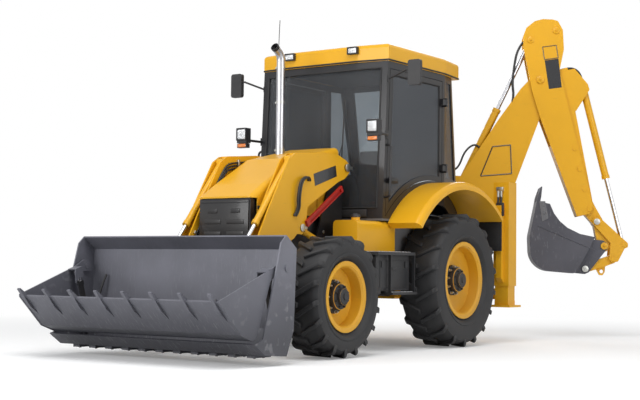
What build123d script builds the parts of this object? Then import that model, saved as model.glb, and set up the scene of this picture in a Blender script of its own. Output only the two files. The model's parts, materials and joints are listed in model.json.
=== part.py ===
"""Backhoe loader: a wheeled machine with a clamshell loader bucket and a side-shift backhoe.

Frame: +X forward, +Y to the machine's left, +Z up. The origin is on the ground, on the
centreline, straight below the rear axle. All sizes are millimetres.
"""

from build123d import *
from math import atan2, cos, degrees, hypot, radians, sin
import os

# ---- Stance and running clearances -------------------------------------------------------
wheelbase = 2170.0
face_gap = 0.3             # face to face between pieces that seat or turn on each other
pin_gap = 0.3              # radial, pin in bore
eye_gap = 6.0              # each side of a ram's eye between its lugs

# ---- Wheels ------------------------------------------------------------------------------
rear_tyre_radius = 687.0
rear_tyre_width = 430.0
rear_wheel_y = 925.0
rear_rim_radius = 369.0
rear_rim_width = 366.0
rear_lug_count = 18
rear_hub_radius = 122.0
front_tyre_radius = 547.0
front_tyre_width = 405.0
front_wheel_y = 938.0
front_rim_radius = 293.0
front_rim_width = 340.0
front_lug_count = 18
front_hub_radius = 118.0
lug_height = 32.0
lug_width = 46.0
lug_lean = 60.0            # how far a lug's ends stand from its middle, round the tyre
lug_overlap = 12.0         # how far a lug runs past the tyre's middle
lug_sink = 60.0            # how deep a lug is seated in the carcass
shoulder_drop = 36.0       # chamfer on a lug's outer end, inwards to the axle
shoulder_run = 24.0        # and along it
bead_rise = 36.0           # height of the bead's foot over the rim
bore_sides = 24            # flats in a tyre's bore, each one touching the rim's round
wall_rise = 80.0           # height over the rim where the side wall starts
tread_share = 0.62         # the tread's flat part, as a share of the tyre's width
rim_dish = 130.0           # how far the disc sits inside the outer flange

# ---- Chassis -----------------------------------------------------------------------------
rail_y = 305.0             # centre of each main rail
rail_width = 80.0
rail_low = 790.0
rail_top = 960.0
rail_front_x = 2440.0
rail_rear_x = -1040.0
tower_inner_y = 332.0
tower_outer_y = 350.0
nose_front_x = 2535.0
nose_half_width = 325.0
nose_low = 760.0
nose_top = 975.0
tow_hole_radius = 20.0
engine_half_width = 260.0
engine_low = 800.0
engine_top = 1380.0

# ---- Axles -------------------------------------------------------------------------------
axle_tube_radius = 88.0
axle_casing_radius = 185.0
drum_radius = 165.0
drum_end_y = 760.0
front_casing_radius = 150.0
front_tube_radius = 70.0
trunnion_z = 700.0
trunnion_radius = 45.0
cradle_half_gap = 170.0    # from the front axle's centre to each cradle block
cradle_length = 70.0
kingpin_y = 800.0
kingpin_radius = 24.0
fork_reach = 130.0         # fork plates above and below the front axle's centre
fork_plate = 26.0
fork_tip = 36.0            # how far the fork's plates pass the kingpin's centre
knuckle_radius = 60.0
knuckle_flange_y = 870.0

# ---- Bonnet, grille and exhaust ----------------------------------------------------------
bonnet_half_width = 325.0
bonnet_rear_x = 1540.0
bonnet_gap = 14.0          # between the cowl and the lid, so that its rear edge can turn down
cowl_rear_x = 1175.0
cowl_bolts = [(1240, 1750), (1440, 1350)]
cowl_boss_radius = 22.0
bonnet_front_x = 2550.0
bonnet_rear_top = 1995.0
bonnet_mid_x = 1860.0
bonnet_mid_top = 1845.0
bonnet_brow_x = 2350.0
bonnet_brow_top = 1573.0
bonnet_front_top = 1447.0
bonnet_skirt = 1300.0
bonnet_wall = 8.0
bonnet_round = 55.0
grille_half_width = 300.0
grille_front_x = 2540.0
bonnet_hinge_z = 1893.0
bonnet_pin_radius = 6.0
bonnet_boss_radius = 12.0
grille_depth = 60.0
grille_top = 1425.0
grille_bars = 9
exhaust_x = 1457.0
exhaust_y = -190.0
exhaust_radius = 42.0
exhaust_bend_z = 2870.0
exhaust_reach = 110.0

# ---- Cab ---------------------------------------------------------------------------------
cab_half_width = 770.0
cab_front_x = 1075.0       # middle of the windscreen's foot
cab_flat_half = 420.0      # half width of the windscreen's flat middle
cab_corner_x = 1050.0      # foot of the front pillars
cab_lean = 78.0            # how far the front leans back to its top
cab_door_rear_x = -170.0
cab_rear_x = -700.0
cab_rear_half_width = 640.0
cab_rear_lean = 270.0
cab_sill_z = 1290.0
cab_top = 2860.0
cab_wall = 30.0
tub_low = 960.0
tub_half_width = 660.0
tub_front_x = 780.0
tub_rear_x = -650.0
roof_top = 3035.0
roof_front_x = 1015.0
roof_corner_x = 968.0
roof_rear_x = -560.0
roof_round = 40.0
glass_wall = 6.0
glass_inset = 12.0
door_gap = 7.0
door_wall = 30.0
door_rear_x = -120.0
door_foot_x = 1003.0
door_head_x = 928.0
door_frame = 52.0
door_sill = 1315.0
door_head = 2790.0
hinge_y = 805.0
hinge_x = -138.0
hinge_radius = 17.0
hinge_heights = (1860.0, 2560.0)
screen_half_width = 700.0
screen_low = 1400.0
window_low = 1760.0
window_rear_inset = 55.0

# ---- Fenders, steps and tanks ------------------------------------------------------------
fender_x = -18.0           # centre of the fender's arc
fender_z = 434.0
fender_radius = 1186.0     # underside
fender_wall = 80.0
fender_outer_y = 1132.0
fender_edge_round = 58.0
fender_front_angle = 40.0
fender_rear_angle = 132.0
arch_radius = 790.0        # wheel arch cut into the cab's lower side
side_rear_x = 820.0
side_front_x = 1430.0
box_inner_y = 550.0
box_outer_y = 950.0
box_low = 590.0
box_top = 930.0
tank_rear_x = 800.0
tank_front_x = 1480.0
tank_inner_y = 480.0
tank_outer_y = 760.0
tank_top = 1262.0
upper_step_inner_y = 775.0
upper_step_outer_y = 1000.0
step_plate = 30.0
lower_step_z = 550.0
lower_step_rear_x = 790.0
lower_step_front_x = 1250.0

# ---- Loader ------------------------------------------------------------------------------
arm_inner_y = 352.0
arm_outer_y = 462.0
arm_plate = 16.0
arm_pivot_x = 1234.0
arm_pivot_z = 1785.0
arm_pin_radius = 32.0
lift_base_x = 1000.0
lift_base_z = 835.0
lift_pin_x = 1962.0
lift_pin_z = 1174.0
tilt_base_x = 2110.0
tilt_base_z = 1805.0
bucket_pivot_x = 2930.0
bucket_pivot_z = 385.0
bucket_tilt_x = 2950.0
bucket_tilt_z = 770.0
ram_pin_radius = 20.0
ram_outer_y = 439.0
lift_inner_y = 368.0       # end of the lift ram's boss on the rail
bucket_half_width = 1175.0
bucket_plate = 14.0
clam_pivot_x = 3160.0
clam_pivot_z = 796.0
clam_inset = 34.0          # clam side plates run inside the blade's
tooth_count = 8
tooth_pitch = 307.0
tooth_width = 34.0

# ---- Rear frame, stabilisers and carriage ------------------------------------------------
leg_front_x = -935.0
leg_rear_x = -1120.0
leg_inner_y = 960.0
leg_outer_y = 1145.0
leg_top = 1755.0
leg_low = 620.0
leg_wall = 12.0
foot_low = 390.0
foot_thick = 45.0
beam_front_x = -1060.0
beam_rear_x = -1185.0
upper_beam_z = 1040.0
lower_beam_z = 470.0
beam_height = 120.0
slew_x = -1360.0
sideshift_y = -550.0
slew_angle = 60.0          # boom's stored slew, from straight back towards the left
carriage_half_width = 230.0
carriage_plate = 40.0
carriage_lug = 55.0

# ---- Backhoe, in its own upright plane: distance out from the slew axis, height ---------
boom_foot = (280.0, 800.0)
boom_head = (1682.0, 3041.0)
boom_ram_base = (0.0, 1160.0)
boom_ram_eye = (620.0, 1840.0)
dipper_ram_base = (750.0, 1790.0)
dipper_ram_eye = (1570.0, 3516.0)
bucket_ram_base = (2200.0, 2950.0)
bucket_ram_eye = (2656.0, 1103.0)
lever_pin = (2342.0, 1369.0)
link_pin = (2535.0, 935.0)
bucket_pin = (2429.0, 1086.0)
bucket_link_pin = (2209.0, 816.0)
wear_line_foot = (2256.0, 1516.0)
wear_line_head = (2084.0, 2229.0)
boom_half = 88.0
boom_plate = 18.0
kingpost_half = 118.0
kingpost_cheek = 24.0
dipper_half = 125.0
dipper_plate = 12.0
inner_half = 78.0
lever_inner = 104.0
lever_plate = 14.0
link_half = 70.0
ear_inner = 84.0
ear_plate = 14.0
pivot_radius = 32.0
hoe_eye_half = 36.0
dig_half_width = 228.0
dig_plate = 12.0
dig_tooth_count = 4

os.makedirs("parts", exist_ok=True)


# ---- Shared ways of making a shape -------------------------------------------------------
def plate(outline, start, end, plane=Plane.XZ, corner=0.0, holes=(), mode=Mode.ADD):
    """Add a flat plate with round holes (x, z, radius), from start to end on the plane's normal."""
    with BuildSketch(plane.offset(start)) as face:
        with BuildLine():
            if corner:
                FilletPolyline(*outline, radius=corner, close=True)
            else:
                Polyline(*outline, close=True)
        make_face()
        for x, z, radius in holes:
            with Locations((x, z)):
                Circle(radius, mode=Mode.SUBTRACT)
    extrude(face.sketch, amount=end - start, mode=mode)


def side_plate(outline, y_low, y_high, corner=0.0, holes=(), mode=Mode.ADD):
    """Add an upright plate along the machine, from an outline of (x, z) points."""
    plate(outline, -y_high, -y_low, Plane.XZ, corner, holes, mode)


def block(x_low, x_high, y_low, y_high, z_low, z_high, mode=Mode.ADD):
    """Add a rectangular block between its limits."""
    with Locations(((x_low + x_high) / 2, (y_low + y_high) / 2, (z_low + z_high) / 2)):
        Box(x_high - x_low, y_high - y_low, z_high - z_low, mode=mode)


def span(side, inner, outer):
    """Return the lower and upper limit across the machine, from two distances on one side."""
    return sorted((side * inner, side * outer))


def rod(start, end, radius, mode=Mode.ADD):
    """Add a round bar between two points in space."""
    run = Vector(*end) - Vector(*start)
    with BuildSketch(Plane(origin=start, z_dir=run)) as section:
        Circle(radius)
    extrude(section.sketch, amount=run.length, mode=mode)


def cross_bar(x, z, y_low, y_high, radius, mode=Mode.ADD):
    """Add a round bar across the machine."""
    rod((x, y_low, z), (x, y_high, z), radius, mode)


def turned(profile, mode=Mode.ADD):
    """Add a solid of revolution about Z, from a closed profile of (radius, height) points."""
    with BuildSketch(Plane.XZ) as section:
        with BuildLine():
            Polyline(*profile, close=True)
        make_face()
    revolve(section.sketch, axis=Axis.Z, mode=mode)


def ring(stages, sides, mode=Mode.ADD):
    """Add a straight-sided solid about Z, through regular polygons given as (radius, height)."""
    for low, high in zip(stages, stages[1:]):
        faces = []
        for radius, height in (low, high):
            with BuildSketch(Plane.XY.offset(height)) as section:
                RegularPolygon(radius, sides)
            faces.append(section.sketch)
        loft(faces, ruled=True, mode=mode)


def hand_in(name, piece):
    """Label a finished sub-part and write its file."""
    piece.label = name
    export_step(piece, f"parts/{name}.step")


# ---- Wheels ------------------------------------------------------------------------------
# Each wheel is modelled about its own axle (Z points out of the machine) and then placed.
wheels = {
    # name: tyre radius, width, rim radius, rim width, lugs, hub radius, hub's inner end y, x, y
    "rear": (rear_tyre_radius, rear_tyre_width, rear_rim_radius, rear_rim_width,
             rear_lug_count, rear_hub_radius, drum_end_y, 0.0, rear_wheel_y),
    "front": (front_tyre_radius, front_tyre_width, front_rim_radius, front_rim_width,
              front_lug_count, front_hub_radius, knuckle_flange_y, wheelbase, front_wheel_y),
}

for axle, (tyre_r, tyre_w, rim_r, rim_w, lugs, hub_r, hub_y, wheel_x, wheel_y) in wheels.items():
    half = tyre_w / 2
    hub_in = hub_y - wheel_y + face_gap
    side = lug_width / 2
    lug_top = (tyre_r**2 - (lug_lean + side) ** 2) ** 0.5
    phase = -degrees(atan2(lug_lean + side, lug_top))
    carcass = tyre_r - lug_height
    lug_root = carcass - lug_sink
    with BuildPart() as lug:
        plate([(-lug_overlap, -lug_lean - side), (half, lug_lean - side), (half, lug_lean + side),
               (-lug_overlap, -lug_lean + side)], 0, lug_top - lug_root,
              Plane(origin=(lug_root, 0, 0), x_dir=(0, 0, 1), z_dir=(1, 0, 0)))
        plate([(tyre_r - shoulder_drop, half), (tyre_r, half - shoulder_run),
               (tyre_r + shoulder_drop, half - shoulder_run), (tyre_r + shoulder_drop, half)],
              -2 * lug_lean, 2 * lug_lean, mode=Mode.SUBTRACT)
    with BuildPart() as tyre_form:
        ring([(carcass - shoulder_drop, -half), (carcass, -half * tread_share),
              (carcass, half * tread_share), (carcass - shoulder_drop, half)], lugs)
        with PolarLocations(0, lugs, start_angle=phase):
            add(lug.part)
        with PolarLocations(0, lugs, start_angle=phase + 180 / lugs):
            add(mirror(lug.part, about=Plane.XY, mode=Mode.PRIVATE))
        bead = rim_w / 2 - 18
        for end in (1, -1):
            ring([(rim_r + bead_rise, end * bead), (rim_r + wall_rise, end * half)], lugs, Mode.SUBTRACT)
        bore = (rim_r + face_gap) / cos(radians(180 / bore_sides))
        ring([(bore, -half), (bore, half)], bore_sides, Mode.SUBTRACT)
    disc_z = rim_w / 2 - rim_dish
    with BuildPart() as rim_form:
        turned([(rim_r + 26, -rim_w / 2), (rim_r - 14, -rim_w / 2), (rim_r - 29, -rim_w / 2 + 18),
                (rim_r - 29, rim_w / 2 - 18), (rim_r - 14, rim_w / 2), (rim_r + 26, rim_w / 2),
                (rim_r + 26, rim_w / 2 - 10), (rim_r, rim_w / 2 - 18),
                (rim_r, -rim_w / 2 + 18), (rim_r + 26, -rim_w / 2 + 10)])
        turned([(rim_r - 15, disc_z + 8), (rim_r - 15, disc_z - 8), (rim_r * 0.62, disc_z - 34),
                (hub_r - 20, disc_z - 34), (hub_r - 20, disc_z - 16), (rim_r * 0.64, disc_z - 16)])
        turned([(0, hub_in), (hub_r, hub_in), (hub_r, disc_z + 70),
                (hub_r * 0.62, disc_z + 70), (hub_r * 0.62, disc_z + 110), (0, disc_z + 110)])
    place = Plane(origin=(wheel_x, wheel_y, tyre_r), x_dir=(1, 0, 0), z_dir=(0, 1, 0)).location
    for kind, form in (("tyre", tyre_form), ("rim", rim_form)):
        with BuildPart() as left_piece:
            with Locations(place):
                add(form.part)
        with BuildPart() as right_piece:
            mirror(left_piece.part, about=Plane.XZ)
        hand_in(f"{axle}_{kind}_left", left_piece.part)
        hand_in(f"{axle}_{kind}_right", right_piece.part)

# ---- Axles and steering knuckles ---------------------------------------------------------
with BuildPart() as axles:
    cross_bar(0, rear_tyre_radius, -drum_end_y, drum_end_y, axle_tube_radius)
    cross_bar(0, rear_tyre_radius, -axle_casing_radius, axle_casing_radius, axle_casing_radius)
    for side in (1, -1):
        cross_bar(0, rear_tyre_radius, side * (drum_end_y - 180), side * drum_end_y, drum_radius)
        block(-90, 90, side * rail_y - 35, side * rail_y + 35, rear_tyre_radius, rail_low - face_gap)
    cross_bar(wheelbase, front_tyre_radius, -kingpin_y + 60, kingpin_y - 60, front_tube_radius)
    rod((wheelbase - cradle_half_gap + 40, 0, trunnion_z), (wheelbase + cradle_half_gap - 40, 0, trunnion_z),
        front_casing_radius * 0.6)
    rod((wheelbase - cradle_half_gap - cradle_length, 0, trunnion_z),
        (wheelbase + cradle_half_gap + cradle_length, 0, trunnion_z), trunnion_radius)
    block(wheelbase - 90, wheelbase + 90, -150, 150, front_tyre_radius - 110, trunnion_z)
    for side in (1, -1):
        for level in (1, -1):
            z_near = front_tyre_radius + level * (fork_reach - fork_plate)
            z_far = front_tyre_radius + level * fork_reach
            block(wheelbase - 62, wheelbase + 62, *span(side, kingpin_y - 90, kingpin_y + fork_tip),
                  min(z_near, z_far), max(z_near, z_far))
        block(wheelbase - 50, wheelbase + 50, *span(side, kingpin_y - 110, kingpin_y - 75),
              front_tyre_radius - fork_reach, front_tyre_radius + fork_reach)
        for level in (1, -1):
            rod((wheelbase, side * kingpin_y, front_tyre_radius + level * 62),
                (wheelbase, side * kingpin_y, front_tyre_radius + level * (fork_reach + 12)), kingpin_radius)
hand_in("axles", axles.part)

knuckle_top = fork_reach - fork_plate - face_gap
with BuildPart() as knuckle_left:
    rod((wheelbase, kingpin_y, front_tyre_radius - knuckle_top),
        (wheelbase, kingpin_y, front_tyre_radius + knuckle_top), knuckle_radius)
    cross_bar(wheelbase, front_tyre_radius, kingpin_y, knuckle_flange_y, front_hub_radius - 24)
    block(wheelbase - 150, wheelbase, kingpin_y - 16, kingpin_y + 16, front_tyre_radius - 80,
          front_tyre_radius - 52)
    for level in (1, -1):
        rod((wheelbase, kingpin_y, front_tyre_radius + level * (62 - 1)),
            (wheelbase, kingpin_y, front_tyre_radius + level * fork_reach), kingpin_radius + pin_gap,
            Mode.SUBTRACT)
with BuildPart() as knuckle_right:
    mirror(knuckle_left.part, about=Plane.XZ)
hand_in("knuckle_left", knuckle_left.part)
hand_in("knuckle_right", knuckle_right.part)

# ---- Chassis -----------------------------------------------------------------------------
tower = [(1120, rail_low + 20), (1150, 1600), (1168, 1840), (1215, 1872), (1258, 1872), (1312, 1815),
         (1390, 1560), (1560, 1120), (1660, rail_low + 20)]
rail_inner_y = rail_y - rail_width / 2
rail_outer_y = rail_y + rail_width / 2
with BuildPart() as chassis_frame:
    for side in (1, -1):
        y_low, y_high = span(side, rail_inner_y, rail_outer_y)
        block(rail_rear_x, rail_front_x, y_low, y_high, rail_low, rail_top)
        side_plate(tower, *span(side, tower_inner_y, tower_outer_y), corner=22)
        cross_bar(arm_pivot_x, arm_pivot_z, side * (tower_inner_y + 4), side * (arm_outer_y + 14),
                  arm_pin_radius)
        for bolt_x, bolt_z in cowl_bolts:
            cross_bar(bolt_x, bolt_z, side * (bonnet_half_width + face_gap), side * (tower_inner_y + 4),
                      cowl_boss_radius)
        block(lift_base_x - 60, lift_base_x + 60, *span(side, rail_outer_y - 10, lift_inner_y),
              lift_base_z - 45, lift_base_z + 45)
        cross_bar(lift_base_x, lift_base_z, side * (lift_inner_y - 10), side * (ram_outer_y + 10),
                  ram_pin_radius)
        for hanger_x in (side_rear_x + 60, side_front_x - 60):
            block(hanger_x - 30, hanger_x + 30, *span(side, rail_inner_y, box_inner_y - face_gap),
                  rail_low - 90, rail_low + 5)
    for beam_x in (-760, 330, 2240):
        block(beam_x - 50, beam_x + 50, -rail_inner_y - 5, rail_inner_y + 5, rail_low + 30, rail_low + 150)
    for cradle_x in (-cradle_half_gap - cradle_length / 2, cradle_half_gap + cradle_length / 2):
        block(wheelbase + cradle_x - cradle_length / 2, wheelbase + cradle_x + cradle_length / 2,
              -rail_outer_y + 45, rail_outer_y - 45, trunnion_z - 90, rail_low + 5)
    rod((wheelbase - cradle_half_gap - cradle_length - 5, 0, trunnion_z),
        (wheelbase + cradle_half_gap + cradle_length + 5, 0, trunnion_z),
        trunnion_radius + pin_gap, Mode.SUBTRACT)
    block(rail_front_x - 10, nose_front_x, -nose_half_width, nose_half_width, nose_low, nose_top)
    rod((nose_front_x - 60, 0, nose_low - 10), (nose_front_x - 60, 0, nose_top - 35), tow_hole_radius,
        Mode.SUBTRACT)
    block(nose_front_x - 100, nose_front_x + 10, -90, 90, nose_low + 70, nose_top - 70, Mode.SUBTRACT)
hand_in("chassis_frame", chassis_frame.part)

with BuildPart() as powertrain:
    block(1350, 2185, -engine_half_width, engine_half_width, engine_low, engine_top)
    block(2230, 2425, -grille_half_width, grille_half_width, rail_top + face_gap, grille_top - 15)
    rod((2175, 0, 1170), (2235, 0, 1170), 60)
    block(560, 1330, -185, 185, 640, 945)
    rod((axle_casing_radius + face_gap, 0, rear_tyre_radius), (570, 0, rear_tyre_radius), 38)
    rod((1320, 0, 690), (wheelbase - cradle_half_gap - cradle_length - face_gap, 0, 690), 32)
hand_in("powertrain", powertrain.part)

# ---- Bonnet, cowl, grille and exhaust ----------------------------------------------------
cowl_split = bonnet_rear_x - bonnet_gap
bonnet_hinge_x = bonnet_rear_x + 22


def hood_form(inset):
    """Add the solid form of the bonnet and cowl, moved inwards by an inset."""
    half = bonnet_half_width - inset
    low = bonnet_skirt - inset * 3
    profile = [(cowl_rear_x, low), (cowl_rear_x, bonnet_rear_top - inset),
               (bonnet_mid_x, bonnet_mid_top - inset * 1.1),
               (bonnet_brow_x, bonnet_brow_top - inset * 1.3),
               (bonnet_front_x - inset, bonnet_front_top - inset * 0.6), (bonnet_front_x - inset, low)]
    side_plate(profile, -half, half)


def hood_edges(form, half):
    """Choose the long edges over the bonnet's sides."""
    return form.edges().filter_by(lambda edge: abs(abs(edge.center().Y) - half) < 1
                                  and edge.center().Z > bonnet_skirt + 20
                                  and edge.center().X > cowl_rear_x + 10)


with BuildPart() as hood_outer:
    hood_form(0)
    fillet(hood_edges(hood_outer, bonnet_half_width), bonnet_round)
with BuildPart() as hood_inner:
    hood_form(bonnet_wall)
    fillet(hood_edges(hood_inner, bonnet_half_width - bonnet_wall), bonnet_round - bonnet_wall)
with BuildPart() as bonnet:
    add(hood_outer.part)
    add(hood_inner.part, mode=Mode.SUBTRACT)
    block(cowl_rear_x - 50, bonnet_rear_x, -500, 500, 1000, 2200, Mode.SUBTRACT)
    block(grille_front_x - 70, bonnet_front_x + 10, -500, 500, 1000, grille_top + 6, Mode.SUBTRACT)
    for side in (1, -1):
        for slot in range(5):
            block(2130 + slot * 34, 2148 + slot * 34, *span(side, 300, 340),
                  bonnet_skirt + 35, bonnet_skirt + 190, Mode.SUBTRACT)
        cross_bar(bonnet_hinge_x, bonnet_hinge_z, side * 200, side * 250, bonnet_boss_radius)
        cross_bar(bonnet_hinge_x, bonnet_hinge_z, side * 190, side * 240, bonnet_pin_radius + pin_gap,
                  Mode.SUBTRACT)
with BuildPart() as cowl:
    add(hood_outer.part)
    add(hood_inner.part, mode=Mode.SUBTRACT)
    block(cowl_split, bonnet_front_x + 50, -500, 500, 1000, 2200, Mode.SUBTRACT)
    block(cowl_rear_x, cowl_rear_x + bonnet_wall, -bonnet_half_width + 2, bonnet_half_width - 2,
          bonnet_skirt, bonnet_rear_top - bonnet_round - 10)
    block(cowl_rear_x, cowl_rear_x + bonnet_wall, -bonnet_half_width + bonnet_round,
          bonnet_half_width - bonnet_round, bonnet_skirt, bonnet_rear_top - 4)
    rod((exhaust_x, exhaust_y, 1400), (exhaust_x, exhaust_y, 2100), exhaust_radius + 4, Mode.SUBTRACT)
    for side in (1, -1):
        side_plate([(cowl_split - 22, bonnet_hinge_z + 26), (cowl_split - 22, bonnet_hinge_z - 40),
                    (bonnet_hinge_x + 7, bonnet_hinge_z - 40), (bonnet_hinge_x + 7, bonnet_hinge_z),
                    (bonnet_hinge_x - 7, bonnet_hinge_z), (bonnet_hinge_x - 7, bonnet_hinge_z - 26),
                    (cowl_split - 8, bonnet_hinge_z - 26), (cowl_split - 8, bonnet_hinge_z + 23)],
                   *span(side, 183, 196))
        cross_bar(bonnet_hinge_x, bonnet_hinge_z, side * 183, side * 196, 7)
        cross_bar(bonnet_hinge_x, bonnet_hinge_z, side * 190, side * 235, bonnet_pin_radius)
hand_in("bonnet", bonnet.part)
hand_in("cowl", cowl.part)

bar_pitch = (grille_half_width * 2 - 60) / (grille_bars + 1)
with BuildPart() as grille:
    block(grille_front_x - grille_depth, grille_front_x, -grille_half_width, grille_half_width,
          nose_top + face_gap, grille_top)
    block(grille_front_x - grille_depth - 5, grille_front_x + 5,
          -grille_half_width + 30, grille_half_width - 30,
          nose_top + 35, grille_top - 30, Mode.SUBTRACT)
    block(grille_front_x - grille_depth, grille_front_x - grille_depth + 10, -grille_half_width + 20,
          grille_half_width - 20, nose_top + 20, grille_top - 20)
    for bar in range(1, grille_bars + 1):
        bar_y = -grille_half_width + 30 + bar * bar_pitch
        block(grille_front_x - grille_depth + 5, grille_front_x - 8, bar_y - 7, bar_y + 7,
              nose_top + 30, grille_top - 25)
hand_in("grille", grille.part)

with BuildPart() as exhaust_stack:
    with BuildLine(Plane(origin=(exhaust_x, exhaust_y, 0), x_dir=(1, 0, 0), z_dir=(0, -1, 0))) as run:
        Line((0, engine_top + face_gap), (0, exhaust_bend_z))
        JernArc(start=(0, exhaust_bend_z), tangent=(0, 1), radius=exhaust_reach, arc_size=-60)
        Line(run.line @ 1, run.line @ 1 + (run.line % 1) * 55)
    with BuildSketch(Plane(origin=(exhaust_x, exhaust_y, engine_top + face_gap), z_dir=(0, 0, 1))):
        Circle(exhaust_radius)
        Circle(exhaust_radius - 6, mode=Mode.SUBTRACT)
    sweep(path=run.line)
hand_in("exhaust_stack", exhaust_stack.part)

# ---- Cab ---------------------------------------------------------------------------------
def cab_outline(share, inset):
    """Return the cab's plan at a share of its height, moved inwards by an inset."""
    front = cab_front_x - cab_lean * share - inset
    corner = cab_corner_x - cab_lean * share - inset
    half = cab_half_width - inset
    foot_rear = cab_rear_x + inset
    rear = foot_rear + cab_rear_lean * share
    taper = (cab_half_width - cab_rear_half_width) / (cab_door_rear_x - foot_rear)
    rear_half = half - taper * (cab_door_rear_x - rear)
    left = [(front, cab_flat_half), (corner, half), (cab_door_rear_x, half), (rear, rear_half)]
    return left + [(x, -y) for x, y in reversed(left)]


def cab_form(inset, mode=Mode.ADD):
    """Add the cab's closed outer form, moved inwards by an inset."""
    faces = []
    for level, share in ((cab_sill_z + face_gap, 0.0), (cab_top, 1.0)):
        with BuildSketch(Plane.XY.offset(level)) as outline:
            with BuildLine():
                Polyline(*cab_outline(share, inset), close=True)
            make_face()
        faces.append(outline.sketch)
    loft(faces, ruled=True, mode=mode)


def door_form(gap, y_low, y_high):
    """Return the door's outline between two planes across the machine, smaller by a gap all round."""
    with BuildPart() as form:
        side_plate([(door_rear_x + gap, door_sill + gap), (door_foot_x - gap, door_sill + gap),
                    (door_head_x - gap, door_head - gap), (door_rear_x + gap, door_head - gap)],
                   y_low, y_high)
        cross_bar(fender_x + 80, fender_z, y_low - 5, y_high + 5,
                  fender_radius + fender_wall + 15 + gap, Mode.SUBTRACT)
    return form.part


def rear_face_x(level):
    """Return where the cab's rear face stands at a height."""
    return cab_rear_x + cab_rear_lean * (level - cab_sill_z) / (cab_top - cab_sill_z)


def window_cuts(gap, mode):
    """Cut or fill the fixed window openings, smaller by a gap all round."""
    block(700, 1300, -screen_half_width + gap, screen_half_width - gap, screen_low + gap, door_head - gap,
          mode)
    block(-900, -330, -560 + gap, 560 - gap, window_low - 200 + gap, door_head - gap, mode)
    side_plate([(-215 - gap, window_low + gap), (-215 - gap, door_head - gap),
                (rear_face_x(door_head) + window_rear_inset + gap, door_head - gap),
                (rear_face_x(window_low) + window_rear_inset + gap, window_low + gap)], 610, 900, mode=mode)
    side_plate([(-215 - gap, window_low + gap), (-215 - gap, door_head - gap),
                (rear_face_x(door_head) + window_rear_inset + gap, door_head - gap),
                (rear_face_x(window_low) + window_rear_inset + gap, window_low + gap)], -900, -610, mode=mode)


def wheel_arch(mode=Mode.SUBTRACT):
    """Cut room for both rear wheels."""
    for side in (1, -1):
        cross_bar(0, rear_tyre_radius, side * 690, side * 1300, arch_radius, mode)


doorway = door_form(0, -900, 900)
with BuildPart() as cab_frame:
    cab_form(0)
    cab_form(cab_wall, Mode.SUBTRACT)
    window_cuts(0, Mode.SUBTRACT)
    add(doorway, mode=Mode.SUBTRACT)
    wheel_arch()
    for side in (1, -1):
        for height in hinge_heights:
            for end in (1, -1):
                lug_low, lug_high = sorted((height + end * 30, height + end * 45))
                block(hinge_x - 14, hinge_x + 14, *span(side, cab_half_width - 4, hinge_y + 14),
                      lug_low, lug_high)
            rod((hinge_x, side * hinge_y, height - 40), (hinge_x, side * hinge_y, height + 40), 8)
hand_in("cab_frame", cab_frame.part)

with BuildPart() as panes:
    window_cuts(face_gap, Mode.ADD)
with BuildPart() as cab_glass:
    cab_form(glass_inset)
    cab_form(glass_inset + glass_wall, Mode.SUBTRACT)
    add(panes.part, mode=Mode.INTERSECT)
hand_in("cab_glass", cab_glass.part)

door_window = door_form(door_gap + door_frame, -900, 900)
for side_name, side in (("left", 1), ("right", -1)):
    leaf = door_form(door_gap, *span(side, cab_half_width - door_wall, cab_half_width))
    pane = door_form(door_gap + door_frame + face_gap,
                     *span(side, cab_half_width - 18, cab_half_width - 12))
    with BuildPart() as door:
        add(leaf)
        add(door_window, mode=Mode.SUBTRACT)
        for height in hinge_heights:
            z_low, z_high = height - 30 + face_gap, height + 30 - face_gap
            block(door_rear_x + door_gap + 8, door_rear_x + 60,
                  *span(side, cab_half_width - 2, hinge_y + 8), z_low, z_high)
            block(hinge_x, door_rear_x + 30, *span(side, hinge_y - 8, hinge_y + 8), z_low, z_high)
            rod((hinge_x, side * hinge_y, z_low), (hinge_x, side * hinge_y, z_high), hinge_radius)
            rod((hinge_x, side * hinge_y, height - 40), (hinge_x, side * hinge_y, height + 40),
                8 + pin_gap, Mode.SUBTRACT)
        block(door_foot_x - 160, door_foot_x - 75,
              *span(side, cab_half_width - 2, cab_half_width + 22), 1640, 1700)
    hand_in(f"door_{side_name}", door.part)
    hand_in(f"door_glass_{side_name}", pane)

roof_plan = [(roof_front_x, 440), (roof_corner_x, cab_half_width + 8), (cab_door_rear_x, cab_half_width + 14),
             (roof_rear_x, 720)]
with BuildPart() as cab_roof:
    with BuildSketch(Plane.XY.offset(cab_top + face_gap)):
        with BuildLine():
            Polyline(*(roof_plan + [(x, -y) for x, y in reversed(roof_plan)]), close=True)
        make_face()
    extrude(amount=roof_top - cab_top)
    fillet(cab_roof.faces().sort_by(Axis.Z)[-1].edges(), roof_round)
    block(-480, 900, -690, 690, cab_top - 5, roof_top - 40, Mode.SUBTRACT)
hand_in("cab_roof", cab_roof.part)

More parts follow.
